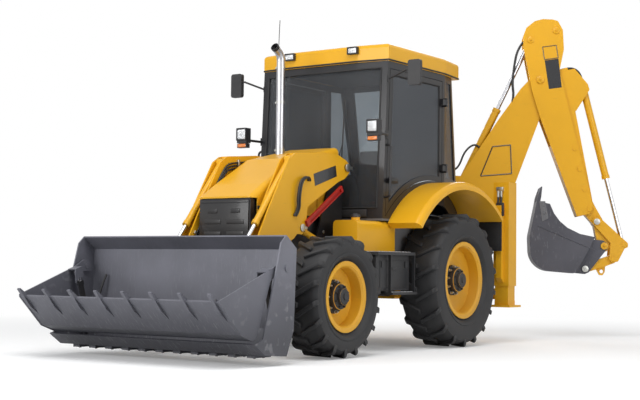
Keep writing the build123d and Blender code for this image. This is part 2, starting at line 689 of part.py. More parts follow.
wheel_centre = (660, 0, 1740)
column_foot = (845, 0, 1600)
column_run = Vector(*wheel_centre) - Vector(*column_foot)
with BuildPart() as cab_floor:
    block(tub_rear_x, tub_front_x, -tub_half_width, tub_half_width, tub_low + face_gap, cab_sill_z - 5)
    block(tub_rear_x + 20, tub_front_x - 20, -tub_half_width + 20, tub_half_width - 20, tub_low + 20,
          cab_sill_z + 30, Mode.SUBTRACT)
    with BuildSketch(Plane.XY.offset(cab_sill_z - 20)):
        with BuildLine():
            Polyline(*cab_outline(0, 0), close=True)
        make_face()
        with Locations(((tub_rear_x + tub_front_x) / 2, 0)):
            Rectangle(tub_front_x - tub_rear_x - 40, tub_half_width * 2 - 40, mode=Mode.SUBTRACT)
    extrude(amount=20)
    wheel_arch()
    side_plate([(800, cab_sill_z - 1), (1000, cab_sill_z - 1), (960, 1700), (900, 1730), (800, 1560)],
               -330, 330)
    rod(column_foot, wheel_centre, 24 + pin_gap, Mode.SUBTRACT)
hand_in("cab_floor", cab_floor.part)

with BuildPart() as seat:
    block(-90, 330, -190, 190, tub_low + 20 + face_gap, 1390)
    block(-130, 400, -245, 245, 1385, 1500)
    fillet(seat.edges().filter_by(Axis.Z).group_by(Axis.X)[-1], 60)
    side_plate([(-140, 1480), (0, 1480), (-60, 2080), (-150, 2080)], -225, 225, corner=30)
    for side in (1, -1):
        block(-90, 220, *span(side, 250, 310), 1660, 1700)
        block(-90, -40, *span(side, 215, 262), 1640, 1700)
hand_in("seat", seat.part)

with BuildPart() as controls:
    rod(column_foot, wheel_centre, 24)
    with Locations(Plane(origin=wheel_centre, z_dir=column_run).location):
        Torus(185, 14)
        Cylinder(45, 26)
        with PolarLocations(0, 3):
            with Locations((100, 0)):
                Box(176, 26, 12)
    for side in (1, -1):
        block(-470, -330, *span(side, 220, 360), tub_low + 20 + face_gap, 1560)
        rod((-400, side * 290, 1555), (-380, side * 290, 1760), 12)
        rod((-385, side * 290, 1740), (-378, side * 290, 1820), 22)
    block(180, 300, -440, -330, tub_low + 20 + face_gap, 1500)
    rod((240, -385, 1495), (270, -385, 1720), 12)
    rod((268, -385, 1700), (278, -385, 1780), 22)
hand_in("controls", controls.part)

# ---- Fenders, tanks, steps, lamps and mirrors --------------------------------------------
def arc_band(inner, outer, first, last, y_low, y_high):
    """Add a curved band round the fender's centre between two angles in degrees."""
    with BuildSketch(Plane.XZ.offset(-y_high)) as face:
        with Locations((fender_x, fender_z)):
            Circle(outer)
            Circle(inner, mode=Mode.SUBTRACT)
        reach = outer * 2
        with BuildLine():
            Polyline((fender_x, fender_z),
                     (fender_x + reach * cos(radians(first)), fender_z + reach * sin(radians(first))),
                     (fender_x, fender_z + reach * 1.5),
                     (fender_x + reach * cos(radians(last)), fender_z + reach * sin(radians(last))),
                     close=True)
        make_face(mode=Mode.INTERSECT)
    extrude(face.sketch, amount=y_high - y_low)


with BuildPart() as fender_left:
    arc_band(fender_radius, fender_radius + fender_wall, fender_front_angle, fender_rear_angle,
             cab_rear_half_width - 40, fender_outer_y)
    top_edges = fender_left.edges().filter_by(
        lambda edge: edge.length > 900 and edge.center().Y > fender_outer_y - 1
        and edge.bounding_box().max.Z > fender_z + fender_radius + fender_wall - 2)
    fillet(top_edges, fender_edge_round)
    cab_form(-face_gap, Mode.SUBTRACT)
    with BuildSketch(Plane.XY.offset(1000)):
        with BuildLine():
            Polyline(*cab_outline(0, -face_gap), close=True)
        make_face()
    extrude(amount=cab_sill_z - 1000 + 1, mode=Mode.SUBTRACT)
with BuildPart() as fenders:
    add(fender_left.part)
    mirror(fender_left.part, about=Plane.XZ)
hand_in("fenders", fenders.part)

with BuildPart() as side_boxes:
    for side in (1, -1):
        block(side_rear_x, side_front_x, *span(side, box_inner_y, box_outer_y), box_low, box_top)
    fillet(side_boxes.edges().filter_by(Axis.Z), 25)
    for side in (1, -1):
        for tray_x in (side_rear_x + 90, side_front_x - 90):
            block(tray_x - 20, tray_x + 20, *span(side, box_outer_y - 5, box_outer_y + 12),
                  box_top - 120, box_top - 60)
with BuildPart() as side_steps:
    add(side_boxes.part)
    for side in (1, -1):
        block(tank_rear_x, tank_front_x, *span(side, upper_step_inner_y, upper_step_outer_y),
              box_top + face_gap, box_top + step_plate)
        block(lower_step_rear_x, lower_step_front_x, *span(side, 800, 1020),
              lower_step_z, lower_step_z + 24)
        for strap_x in (lower_step_rear_x + 12, lower_step_front_x - 12):
            block(strap_x - 6, strap_x + 6, *span(side, box_outer_y + 14, box_outer_y + 44),
                  lower_step_z, box_top + step_plate - 5)
hand_in("side_steps", side_steps.part)

with BuildPart() as side_tanks:
    for side in (1, -1):
        block(tank_rear_x, tank_front_x, *span(side, tank_inner_y, tank_outer_y),
              box_top + face_gap, tank_top)
    fillet(side_tanks.edges().filter_by(Axis.X).group_by(Axis.Z)[-1], 40)
    for side in (1, -1):
        rod((tank_front_x - 120, side * (tank_outer_y - 100), tank_top - 5),
            (tank_front_x - 120, side * (tank_outer_y - 100), tank_top + 30), 42)
hand_in("side_tanks", side_tanks.part)

lamp_pillar_z = 2120.0
mirror_z = 2720.0
lamp_x = 1273.0
lamp_y = 806.0
with BuildPart() as lamps:
    for side in (1, -1):
        block(roof_front_x + face_gap, roof_front_x + 28, *span(side, 332, 452), 2945, 3018)
        block(roof_rear_x - 28, roof_rear_x - face_gap, *span(side, 400, 520), 2920, 3000)
        block(lamp_x - 45, lamp_x + 30, *span(side, lamp_y - 62, lamp_y + 62), 2085, 2240)
        block(lamp_x - 30, lamp_x + 25, *span(side, lamp_y - 62, lamp_y + 62), 2035, 2080)
        block(lamp_x - 30, lamp_x, *span(side, lamp_y - 30, lamp_y + 30), 2070, 2095)
        rod((988, side * (cab_half_width + 15), lamp_pillar_z),
            (lamp_x - 20, side * lamp_y, lamp_pillar_z), 13)
        block(974, 1003, *span(side, cab_half_width + face_gap, cab_half_width + 20),
              lamp_pillar_z - 40, lamp_pillar_z + 40)
hand_in("lamps", lamps.part)

mirror_heads = ((1, 985.0, 1090.0), (-1, 1130.0, 1010.0))
with BuildPart() as mirrors:
    for side, head_x, head_y in mirror_heads:
        foot_x = 962.0
        block(foot_x - 12, foot_x + 12, *span(side, cab_half_width + face_gap, cab_half_width + 12),
              mirror_z - 70, mirror_z - 10)
        rod((foot_x, side * (cab_half_width + 6), mirror_z - 40),
            (head_x, side * (head_y - 95), mirror_z + 30), 10)
        rod((head_x, side * (head_y - 105), mirror_z + 29), (head_x, side * (head_y - 50), mirror_z + 29), 9)
        block(head_x - 22, head_x + 22, *span(side, head_y - 70, head_y + 70),
              mirror_z - 130, mirror_z + 120)
    fillet(mirrors.edges().filter_by(Axis.X).filter_by(lambda edge: abs(edge.length - 44) < 1), 25)
hand_in("mirrors", mirrors.part)

# ---- Rear frame, stabilisers and carriage ------------------------------------------------
with BuildPart() as rear_frame:
    for beam_z in (upper_beam_z, lower_beam_z):
        block(beam_rear_x, beam_front_x, -leg_inner_y - 10, leg_inner_y + 10, beam_z, beam_z + beam_height)
    for side in (1, -1):
        block(leg_rear_x, leg_front_x, *span(side, leg_inner_y, leg_outer_y), leg_low, leg_top)
        block(leg_rear_x + leg_wall, leg_front_x - leg_wall,
              *span(side, leg_inner_y + leg_wall, leg_outer_y - leg_wall),
              leg_low - 5, leg_top - 20, Mode.SUBTRACT)
        side_plate([(beam_rear_x + 10, lower_beam_z + 20), (beam_rear_x + 10, upper_beam_z + beam_height),
                    (beam_front_x, upper_beam_z + beam_height), (beam_front_x, rail_top + 40),
                    (rail_rear_x + 160, rail_top), (rail_rear_x + 160, rail_low),
                    (beam_front_x, lower_beam_z)],
                   *span(side, rail_outer_y + face_gap, rail_outer_y + 24))
        side_plate([(leg_front_x - 5, leg_top - 200), (leg_front_x + 60, leg_top - 260),
                    (leg_front_x + 60, leg_low + 90), (leg_front_x - 5, leg_low + 30)],
                   *span(side, leg_inner_y + 60, leg_outer_y - 60))
hand_in("rear_frame", rear_frame.part)

for side_name, side in (("left", 1), ("right", -1)):
    slack = leg_wall + face_gap
    with BuildPart() as stabiliser_leg:
        block(leg_rear_x + slack, leg_front_x - slack,
              *span(side, leg_inner_y + slack, leg_outer_y - slack),
              foot_low + foot_thick - 5, leg_top - 60)
        block(leg_rear_x - 45, leg_front_x + 45, *span(side, leg_inner_y - 35, leg_outer_y + 35),
              foot_low, foot_low + foot_thick * 0.5)
        block(leg_rear_x + 10, leg_front_x - 10, *span(side, leg_inner_y + 10, leg_outer_y - 10),
              foot_low, foot_low + foot_thick + 25)
    hand_in(f"stabiliser_leg_{side_name}", stabiliser_leg.part)

plate_front_x = beam_rear_x - face_gap
plate_rear_x = plate_front_x - carriage_plate
lug_upper_low = 985.0
lug_lower_low = 500.0
with BuildPart() as carriage:
    block(plate_rear_x, plate_front_x, sideshift_y - carriage_half_width, sideshift_y + carriage_half_width,
          lower_beam_z - 25, upper_beam_z + beam_height + 25)
    for lug_low in (lug_upper_low, lug_lower_low):
        block(slew_x, plate_rear_x + 5, sideshift_y - 100, sideshift_y + 100, lug_low, lug_low + carriage_lug)
        rod((slew_x, sideshift_y, lug_low), (slew_x, sideshift_y, lug_low + carriage_lug), 100)
        rod((slew_x, sideshift_y, lug_low - 5), (slew_x, sideshift_y, lug_low + carriage_lug + 5),
            45 + pin_gap, Mode.SUBTRACT)
    for clamp_z in (lower_beam_z - 25, upper_beam_z + beam_height + face_gap):
        block(plate_front_x - 10, beam_front_x + 20, sideshift_y - 170, sideshift_y + 170,
              clamp_z, clamp_z + 25 - face_gap)
hand_in("carriage", carriage.part)


# ---- Rams --------------------------------------------------------------------------------
def make_ram(name, plane, base, eye, barrel, rod_size, inside, eye_half, sides=(0.0,)):
    """Make a ram's barrel and rod between two points (base pin, eye) given in a plane.

    barrel holds its length and radius and rod_size the rod's radius; inside is how much of
    the rod stands in the barrel, and sides are the rams' places along the plane's normal.
    """
    barrel_length, barrel_radius = barrel
    reach = hypot(eye[0] - base[0], eye[1] - base[1])
    eye_radius = ram_pin_radius + 18
    bore_start = eye_radius + 10
    with BuildPart() as barrel_form:
        for side in sides:
            rod((0, 0, side - eye_half), (0, 0, side + eye_half), eye_radius)
            rod((eye_radius - 12, 0, side), (barrel_length, 0, side), barrel_radius)
            rod((barrel_length - 40, 0, side), (barrel_length, 0, side), barrel_radius + 5)
            rod((bore_start, 0, side), (barrel_length + 5, 0, side), rod_size + pin_gap, Mode.SUBTRACT)
            rod((0, 0, side - eye_half - 5), (0, 0, side + eye_half + 5), ram_pin_radius + pin_gap,
                Mode.SUBTRACT)
    with BuildPart() as rod_form:
        for side in sides:
            rod((barrel_length - inside, 0, side), (reach - eye_radius + 12, 0, side), rod_size)
            rod((reach, 0, side - eye_half), (reach, 0, side + eye_half), eye_radius)
            rod((reach, 0, side - eye_half - 5), (reach, 0, side + eye_half + 5), ram_pin_radius + pin_gap,
                Mode.SUBTRACT)
    start = plane.from_local_coords((base[0], base[1], 0))
    end = plane.from_local_coords((eye[0], eye[1], 0))
    place = Plane(origin=start, x_dir=end - start, z_dir=plane.z_dir).location
    for kind, form in (("barrel", barrel_form), ("rod", rod_form)):
        with BuildPart() as placed:
            with Locations(place):
                add(form.part)
        hand_in(f"{name}_{kind}", placed.part)


# ---- Loader ------------------------------------------------------------------------------
arm_outline = [(1182, 1735), (1180, 1822), (1240, 1858), (1370, 1900), (1640, 1907), (2085, 1864),
               (2180, 1806), (2490, 1312), (2992, 440), (2975, 345), (2905, 325), (2170, 1030), (2085, 1075),
               (2040, 1115), (1962, 1112), (1905, 1160), (1880, 1375), (1370, 1638), (1262, 1674)]
ram_y = (arm_inner_y + arm_outer_y) / 2
arm_slot = (arm_outer_y - arm_inner_y) / 2 - arm_plate
loader_eye_half = arm_slot - eye_gap
with BuildPart() as loader_arms:
    for side in (1, -1):
        holes = [(arm_pivot_x, arm_pivot_z, arm_pin_radius + pin_gap),
                 (bucket_pivot_x, bucket_pivot_z, arm_pin_radius - 6 + pin_gap)]
        for y_in, y_out in ((arm_inner_y, arm_inner_y + arm_plate), (arm_outer_y - arm_plate, arm_outer_y)):
            side_plate(arm_outline, *span(side, y_in, y_out), corner=18, holes=holes)
        low_y, high_y = span(side, arm_inner_y + 2, arm_outer_y - 2)
        side_plate([(1290, 1840), (1372, 1870), (1640, 1880), (2060, 1845), (2050, 1870), (1640, 1903),
                    (1372, 1897), (1285, 1868)], low_y, high_y)
        side_plate([(1300, 1690), (1372, 1660), (1860, 1402), (1870, 1385), (1372, 1642), (1275, 1680)],
                   low_y, high_y)
        side_plate([(2190, 1050), (2850, 400), (2835, 380), (2172, 1035)], low_y, high_y)
        cross_bar(tilt_base_x, tilt_base_z, low_y, high_y, ram_pin_radius)
        for y_end in (arm_inner_y + 2, arm_outer_y - 5):
            y_tip = y_end + 12 if y_end > ram_y else y_end - 12
            cross_bar(lift_pin_x, lift_pin_z, side * y_end, side * y_tip, 30)
        cross_bar(bucket_pivot_x, bucket_pivot_z, low_y, high_y, arm_pin_radius + 14)
        cross_bar(bucket_pivot_x, bucket_pivot_z, low_y - 60, high_y + 60, arm_pin_radius - 6 + pin_gap,
                  Mode.SUBTRACT)
    cross_bar(2680, 745, -arm_inner_y - 2, arm_inner_y + 2, 50)
hand_in("loader_arms", loader_arms.part)

with BuildPart() as safety_strut:
    side_plate([(1318, 1548), (1345, 1602), (1928, 1236), (1902, 1184)],
               arm_outer_y + face_gap, arm_outer_y + 28)
    side_plate([(1350, 1540), (1368, 1572), (1880, 1250), (1862, 1220)],
               arm_outer_y + 10, arm_outer_y + 30, mode=Mode.SUBTRACT)
hand_in("safety_strut", safety_strut.part)

make_ram("lift_ram", Plane.XZ, (lift_base_x, lift_base_z), (lift_pin_x, lift_pin_z),
         (940, 30), 20, 852, loader_eye_half, (ram_y, -ram_y))
make_ram("tilt_ram", Plane.XZ, (tilt_base_x, tilt_base_z), (bucket_tilt_x, bucket_tilt_z),
         (800, 30), 18, 620, loader_eye_half, (ram_y, -ram_y))

blade_outer = [(3163, 1071), (3021, 961), (3050, 287), (3143, 74), (3430, 93), (3566, 187)]
blade_inner = [(3555, 195), (3426, 108), (3153, 90), (3064, 291), (3036, 954), (3172, 1060)]
clam_ram_y = 1075.0
clam_ram_base = (3170.0, 225.0)
clam_ram_eye = (3320.0, 736.0)
clam_eye_half = 20.0
with BuildPart() as loader_bucket:
    side_plate(blade_outer + blade_inner, -bucket_half_width + 1, bucket_half_width - 1)
    for side in (1, -1):
        side_plate([(3163, 1071), (3021, 961), (3050, 287), (3143, 74), (3430, 93), (3566, 187),
                    (3464, 225), (3308, 738), (3235, 1005)],
                   *span(side, bucket_half_width - bucket_plate, bucket_half_width), corner=8)
        cross_bar(clam_pivot_x, clam_pivot_z, side * (bucket_half_width - clam_inset - bucket_plate - 6),
                  side * (bucket_half_width + 10), 26)
        for y_in in (arm_inner_y - 6 - 16, arm_outer_y + 6):
            side_plate([(3062, 250), (2960, 325), (2905, 345), (2885, 385), (2905, 430), (2912, 790),
                        (2950, 818), (2990, 805), (3040, 730)], *span(side, y_in, y_in + 16))
        cross_bar(bucket_pivot_x, bucket_pivot_z, side * (arm_inner_y - 20), side * (arm_outer_y + 20),
                  arm_pin_radius - 6)
        for y_end, y_tip in ((arm_inner_y - 8, arm_inner_y + arm_plate),
                             (arm_outer_y + 8, arm_outer_y - arm_plate)):
            cross_bar(bucket_tilt_x, bucket_tilt_z, side * y_end, side * y_tip, 28)
        for y_in in (clam_ram_y - clam_eye_half - eye_gap - 10, clam_ram_y + clam_eye_half + eye_gap):
            side_plate([(3062, 300), (3100, 180), (3160, 84), (3215, 96), (3212, 240), (3175, 268)],
                       *span(side, y_in, y_in + 10))
        cross_bar(*clam_ram_base, side * (clam_ram_y - clam_eye_half - eye_gap - 5),
                  side * (clam_ram_y + clam_eye_half + eye_gap + 5), ram_pin_radius)
    for wear_x in range(-5, 6):
        block(3180, 3400, wear_x * 200 - 40, wear_x * 200 + 40, 66, 96)
hand_in("loader_bucket", loader_bucket.part)

clam_side_y = bucket_half_width - clam_inset
with BuildPart() as clam:
    side_plate([(3545, 214), (3700, 268), (3965, 530), (3952, 542), (3692, 286), (3540, 230)],
               -clam_side_y + 1, clam_side_y - 1)
    for side in (1, -1):
        side_plate([(3105, 800), (3130, 848), (3200, 856), (3310, 792), (3965, 545), (3960, 520), (3702, 264),
                    (3545, 208), (3500, 250), (3330, 690), (3240, 745), (3120, 752)],
                   *span(side, clam_side_y - bucket_plate, clam_side_y), corner=6,
                   holes=[(clam_pivot_x, clam_pivot_z, 26 + pin_gap)])
        side_plate([(3290, 700), (3300, 792), (3390, 764), (3380, 640), (3350, 690)],
                   *span(side, clam_ram_y - clam_eye_half - eye_gap - 10,
                         clam_ram_y - clam_eye_half - eye_gap))
        side_plate([(3305, 784), (3308, 794), (3392, 766), (3388, 756)],
                   *span(side, clam_ram_y - clam_eye_half - eye_gap - 10, clam_side_y - 2))
    for tooth in range(tooth_count):
        tooth_y = (tooth - (tooth_count - 1) / 2) * tooth_pitch
        side_plate([(3800, 368), (3905, 440), (4032, 590), (4022, 600), (3900, 520), (3800, 420)],
                   tooth_y - tooth_width / 2, tooth_y + tooth_width / 2)
hand_in("clam", clam.part)

make_ram("clam_ram", Plane.XZ, clam_ram_base, clam_ram_eye, (455, 26), 14, 250, clam_eye_half,
         (clam_ram_y, -clam_ram_y))

# ---- Backhoe -----------------------------------------------------------------------------
slew = radians(slew_angle)
hoe = Plane(origin=(slew_x, sideshift_y, 0),
            x_dir=(-cos(slew), sin(slew), 0), z_dir=(sin(slew), cos(slew), 0))


def hoe_plate(outline, inner, outer, corner=0.0, holes=(), mode=Mode.ADD):
    """Add a pair of plates, one each side of the backhoe's upright plane."""
    plate(outline, inner, outer, hoe, corner, holes, mode)
    plate(outline, -outer, -inner, hoe, corner, holes, mode)


def hoe_core(outline, half, corner=0.0, holes=(), mode=Mode.ADD):
    """Add a solid across the backhoe's upright plane."""
    plate(outline, -half, half, hoe, corner, holes, mode)


def hoe_pin(point, low, high, radius, mode=Mode.ADD):
    """Add a round bar across the backhoe's plane."""
    rod(hoe.from_local_coords((*point, low)), hoe.from_local_coords((*point, high)), radius, mode)


king_top = lug_upper_low - face_gap
king_bottom = lug_lower_low + carriage_lug + face_gap
king_cap = 1056.0          # underside of the cheeks over the carriage's upper lug
with BuildPart() as kingpost:
    hoe_core([(-50, king_bottom), (-50, king_top), (150, king_top), (150, king_bottom)], kingpost_half)
    hoe_plate([(100, king_bottom), (100, king_top), (115, 1010), (115, king_cap), (-50, king_cap),
               (-50, 1200), (0, 1222), (60, 1207), (205, 1115), (340, 870), (345, 745), (300, 700), (200, king_bottom)],
              kingpost_half - kingpost_cheek, kingpost_half, corner=8)
    hoe_core([(-50, king_cap - 8), (-50, king_cap + 6), (52, king_cap + 6), (52, king_cap - 8)],
             kingpost_half)
    hoe_core([(110, 970), (110, 1030), (125, 1028), (150, 1003), (150, 970)], kingpost_half)
    rod((slew_x, sideshift_y, king_top - 5), (slew_x, sideshift_y, king_cap - 3), 45)
    rod((slew_x, sideshift_y, lug_lower_low - 12), (slew_x, sideshift_y, king_bottom + 5), 45)
    hoe_core([(150, king_bottom - 5), (150, 1100), (420, 1100), (420, king_bottom - 5)],
             kingpost_half - kingpost_cheek, mode=Mode.SUBTRACT)
    hoe_pin(boom_ram_base, -kingpost_half, kingpost_half, ram_pin_radius)
    hoe_pin(boom_foot, -kingpost_half - 8, kingpost_half + 8, pivot_radius)
hand_in("kingpost", kingpost.part)

boom_plates = [(222, 775), (240, 735), (300, 722), (370, 755), (1000, 1240), (1300, 1560), (1395, 1810),
               (1684, 2590), (1770, 2995), (1758, 3085), (1690, 3125), (1610, 3100), (1459, 2940),
               (1190, 2560), (760, 1900), (660, 1905), (570, 1850), (590, 1770), (560, 1560), (225, 880)]
boom_core = [(250, 790), (270, 755), (305, 742), (365, 772), (990, 1255), (1285, 1572), (1380, 1815),
             (1668, 2595), (1750, 3000), (1738, 3070), (1685, 3105), (1625, 3080), (1500, 2880),
             (1290, 2480), (850, 1640), (690, 1540), (480, 1270), (250, 865)]
boom_holes = [(*boom_foot, pivot_radius + pin_gap), (*boom_head, pivot_radius + pin_gap)]
with BuildPart() as boom:
    hoe_plate(boom_plates, boom_half - boom_plate, boom_half, 15, boom_holes)
    hoe_core(boom_core, boom_half - boom_plate + 1, 15, boom_holes)
    hoe_pin(dipper_ram_base, -boom_half + 2, boom_half - 2, ram_pin_radius)
    for low, high in ((hoe_eye_half + eye_gap, boom_half - 2), (-boom_half + 2, -hoe_eye_half - eye_gap)):
        hoe_pin(boom_ram_eye, low, high, 30)
hand_in("boom", boom.part)

dipper_outline = [(1490, 3400), (1481, 3551), (1520, 3660), (1620, 3740), (1714, 3764), (1830, 3758),
                  (1890, 3739), (1948, 3632), (1960, 3400), (1909, 3150), (2298, 1545), (2258, 1462),
                  (2112, 1427), (1693, 2563), (1590, 2900)]
with BuildPart() as dipper:
    hoe_plate(dipper_outline, dipper_half - dipper_plate, dipper_half, 12,
              [(*boom_head, pivot_radius - pin_gap)])
    hoe_core([(1800, 3758), (1885, 3735), (1942, 3630), (1955, 3400), (1925, 3290), (1830, 3330)],
             dipper_half - 2)
    hoe_core([(1805, 2260), (1822, 2265), (2126, 1438), (2112, 1432)], dipper_half - 2)
    hoe_pin(boom_head, -dipper_half - 8, dipper_half + 8, pivot_radius)
    for low, high in ((hoe_eye_half + eye_gap, dipper_half - 2), (-dipper_half + 2, -hoe_eye_half - eye_gap)):
        hoe_pin(dipper_ram_eye, low, high, 32)
    for share in (0.0, 0.33, 0.66, 1.0):
        pad = tuple(foot + (head - foot) * share for foot, head in zip(wear_line_foot, wear_line_head))
        for low, high in ((inner_half + face_gap, dipper_half + 10),
                          (-dipper_half - 10, -inner_half - face_gap)):
            hoe_pin(pad, low, high, 28)
hand_in("dipper", dipper.part)

wear_run = hypot(wear_line_foot[0] - wear_line_head[0], wear_line_foot[1] - wear_line_head[1])
down = ((wear_line_foot[0] - wear_line_head[0]) / wear_run,
        (wear_line_foot[1] - wear_line_head[1]) / wear_run)


def along(distance, aside):
    """Return a point of the sliding dipper: distance down the wear line, aside outwards from it."""
    return (wear_line_foot[0] + distance * down[0] - aside * down[1],
            wear_line_foot[1] + distance * down[1] + aside * down[0])


with BuildPart() as inner_dipper:
    hoe_core([along(-1690, -80), along(-1690, 150), along(-1380, 130), along(-80, 62), along(0, 80),
              (2410, 1400), (2500, 1130), (2495, 1060), (2455, 1022), (2400, 1020), (2365, 1050),
              (2310, 1330), along(60, -60), along(30, -80)], inner_half, 14,
             [(*bucket_pin, pivot_radius + pin_gap)])
    hoe_core([along(-1500, 155), along(-1500, 400), along(-1300, 400), along(-1300, 60)],
             hoe_eye_half + eye_gap, mode=Mode.SUBTRACT)
    hoe_plate([along(-1660, 140), along(-1656, 228), along(-1440, 335), along(-1370, 338), along(-1150, 115)],
              hoe_eye_half + eye_gap, inner_half, 10)
    hoe_pin(bucket_ram_base, -inner_half, inner_half, ram_pin_radius)
    hoe_pin(lever_pin, -lever_inner - lever_plate - 8, lever_inner + lever_plate + 8, pivot_radius - 4)
hand_in("inner_dipper", inner_dipper.part)

lever_outline = [(2290, 1395), (2330, 1425), (2385, 1410), (2700, 1120), (2700, 1075), (2660, 1055),
                 (2585, 905), (2520, 890), (2485, 930), (2500, 1120), (2300, 1340)]
with BuildPart() as tipping_lever:
    hoe_plate(lever_outline, lever_inner, lever_inner + lever_plate, 16,
              [(*lever_pin, pivot_radius - 4 + pin_gap)])
    for point, inner in ((bucket_ram_eye, hoe_eye_half + eye_gap), (link_pin, link_half + eye_gap)):
        for low, high in ((inner, lever_inner + lever_plate + 8), (-lever_inner - lever_plate - 8, -inner)):
            hoe_pin(point, low, high, 28)
hand_in("tipping_lever", tipping_lever.part)

link_outline = [(2190, 862), (2160, 830), (2168, 785), (2205, 768), (2345, 812), (2380, 745), (2420, 742),
                (2445, 780), (2450, 850), (2550, 888), (2582, 930), (2560, 978), (2515, 982)]
with BuildPart() as tipping_link:
    hoe_core(link_outline, link_half, 12,
             [(*bucket_link_pin, pivot_radius - 4 + pin_gap), (2407, 788, 22), (*link_pin, 28 + pin_gap)])
    hoe_plate([(2335, 700), (2335, 822), (2470, 850), (2470, 700)], 18, link_half + 5, mode=Mode.SUBTRACT)
    hoe_core([(2555, 850), (2555, 1010), (2620, 1010), (2620, 850)],
             hoe_eye_half + eye_gap, mode=Mode.SUBTRACT)
hand_in("tipping_link", tipping_link.part)

dig_corners = [(1640, 1600), (1556, 1190), (1572, 800), (2085, 760), (2310, 1185), (2135, 1222), (1992, 1292),
               (1904, 1368), (1838, 1458), (1790, 1570)]
dig_radii = [4, 220, 250, 60, 4, 60, 60, 60, 60, 4]
with BuildPart() as dig_form:
    hoe_core(dig_corners, dig_half_width, dig_radii)
with BuildPart() as dig_hollow:
    with BuildSketch(hoe.offset(-dig_half_width + dig_plate)):
        with BuildLine():
            FilletPolyline(*dig_corners, radius=dig_radii, close=True)
        make_face()
        offset(amount=-dig_plate)
        with BuildLine():
            Polyline((1665, 1700), (1668, 1570), (1800, 1500), (1950, 1310), (2130, 1200), (2285, 1172),
                     (2340, 1260), (2000, 1700), close=True)
        make_face()
    extrude(amount=2 * (dig_half_width - dig_plate))
with BuildPart() as digging_bucket:
    add(dig_form.part)
    add(dig_hollow.part, mode=Mode.SUBTRACT)
    hoe_plate([(2060, 770), (2206, 755), (2250, 775), (2465, 1055), (2462, 1120), (2415, 1150), (2300, 1160)],
              ear_inner, ear_inner + ear_plate, 10)
    hoe_pin(bucket_pin, -ear_inner - ear_plate - 8, ear_inner + ear_plate + 8, pivot_radius)
    hoe_pin(bucket_link_pin, -ear_inner - ear_plate - 8, ear_inner + ear_plate + 8, pivot_radius - 4)
    for tooth in range(dig_tooth_count):
        across = (tooth - (dig_tooth_count - 1) / 2) * (2 * dig_half_width - 50) / (dig_tooth_count - 1)
        plate([(1628, 1540), (1650, 1660), (1690, 1772), (1702, 1770), (1690, 1650), (1668, 1540)],
              across - 22, across + 22, hoe)
hand_in("digging_bucket", digging_bucket.part)

make_ram("boom_ram", hoe, boom_ram_base, boom_ram_eye, (780, 50), 28, 648, hoe_eye_half)
make_ram("dipper_ram", hoe, dipper_ram_base, dipper_ram_eye, (1015, 45), 28, 150, hoe_eye_half)
make_ram("bucket_ram", hoe, bucket_ram_base, bucket_ram_eye, (1100, 42), 25, 60, hoe_eye_half)
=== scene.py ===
"""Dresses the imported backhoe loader: finishes, small fittings, studio and camera.

Every length is in metres, in the part's own frame: +X forward, +Y to the machine's left,
+Z up, with the origin on the ground below the rear axle.
"""

from __future__ import annotations

import json
import logging
import math
from dataclasses import dataclass
from enum import Enum
from typing import Any, Iterable, Protocol, Sequence

import bmesh
import bpy
from mathutils import Matrix, Vector

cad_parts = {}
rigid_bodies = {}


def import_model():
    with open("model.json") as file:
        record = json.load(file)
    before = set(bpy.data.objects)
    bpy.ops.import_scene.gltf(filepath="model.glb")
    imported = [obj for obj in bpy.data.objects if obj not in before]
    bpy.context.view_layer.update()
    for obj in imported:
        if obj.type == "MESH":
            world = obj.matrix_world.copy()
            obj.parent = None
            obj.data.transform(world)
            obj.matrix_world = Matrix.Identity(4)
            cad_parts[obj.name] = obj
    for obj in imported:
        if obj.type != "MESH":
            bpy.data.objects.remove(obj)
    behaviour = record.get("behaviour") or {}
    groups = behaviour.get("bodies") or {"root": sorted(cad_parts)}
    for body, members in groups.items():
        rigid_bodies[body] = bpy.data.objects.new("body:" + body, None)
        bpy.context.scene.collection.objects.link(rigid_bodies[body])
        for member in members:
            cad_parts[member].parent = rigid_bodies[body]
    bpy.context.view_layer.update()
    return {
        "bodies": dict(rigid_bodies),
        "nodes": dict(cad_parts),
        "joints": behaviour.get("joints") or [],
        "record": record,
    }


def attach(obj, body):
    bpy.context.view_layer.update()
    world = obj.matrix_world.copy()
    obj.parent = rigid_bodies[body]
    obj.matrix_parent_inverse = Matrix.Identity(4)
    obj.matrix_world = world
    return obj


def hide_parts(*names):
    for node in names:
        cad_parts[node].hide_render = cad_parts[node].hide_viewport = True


LOG = logging.getLogger("backhoe_loader")
SIDES = ((1, "left"), (-1, "right"))
UP = Vector((0, 0, 1))

Colour = tuple[float, float, float]
Bars = tuple[tuple[float, float, float, float], ...]
Bands = tuple[tuple[float, float], ...]
Route = tuple[tuple[float, ...], ...]


def tipped(degrees: float) -> Matrix:
    """Return a turn about the machine's Y axis."""
    return Matrix.Rotation(math.radians(degrees), 4, "Y")


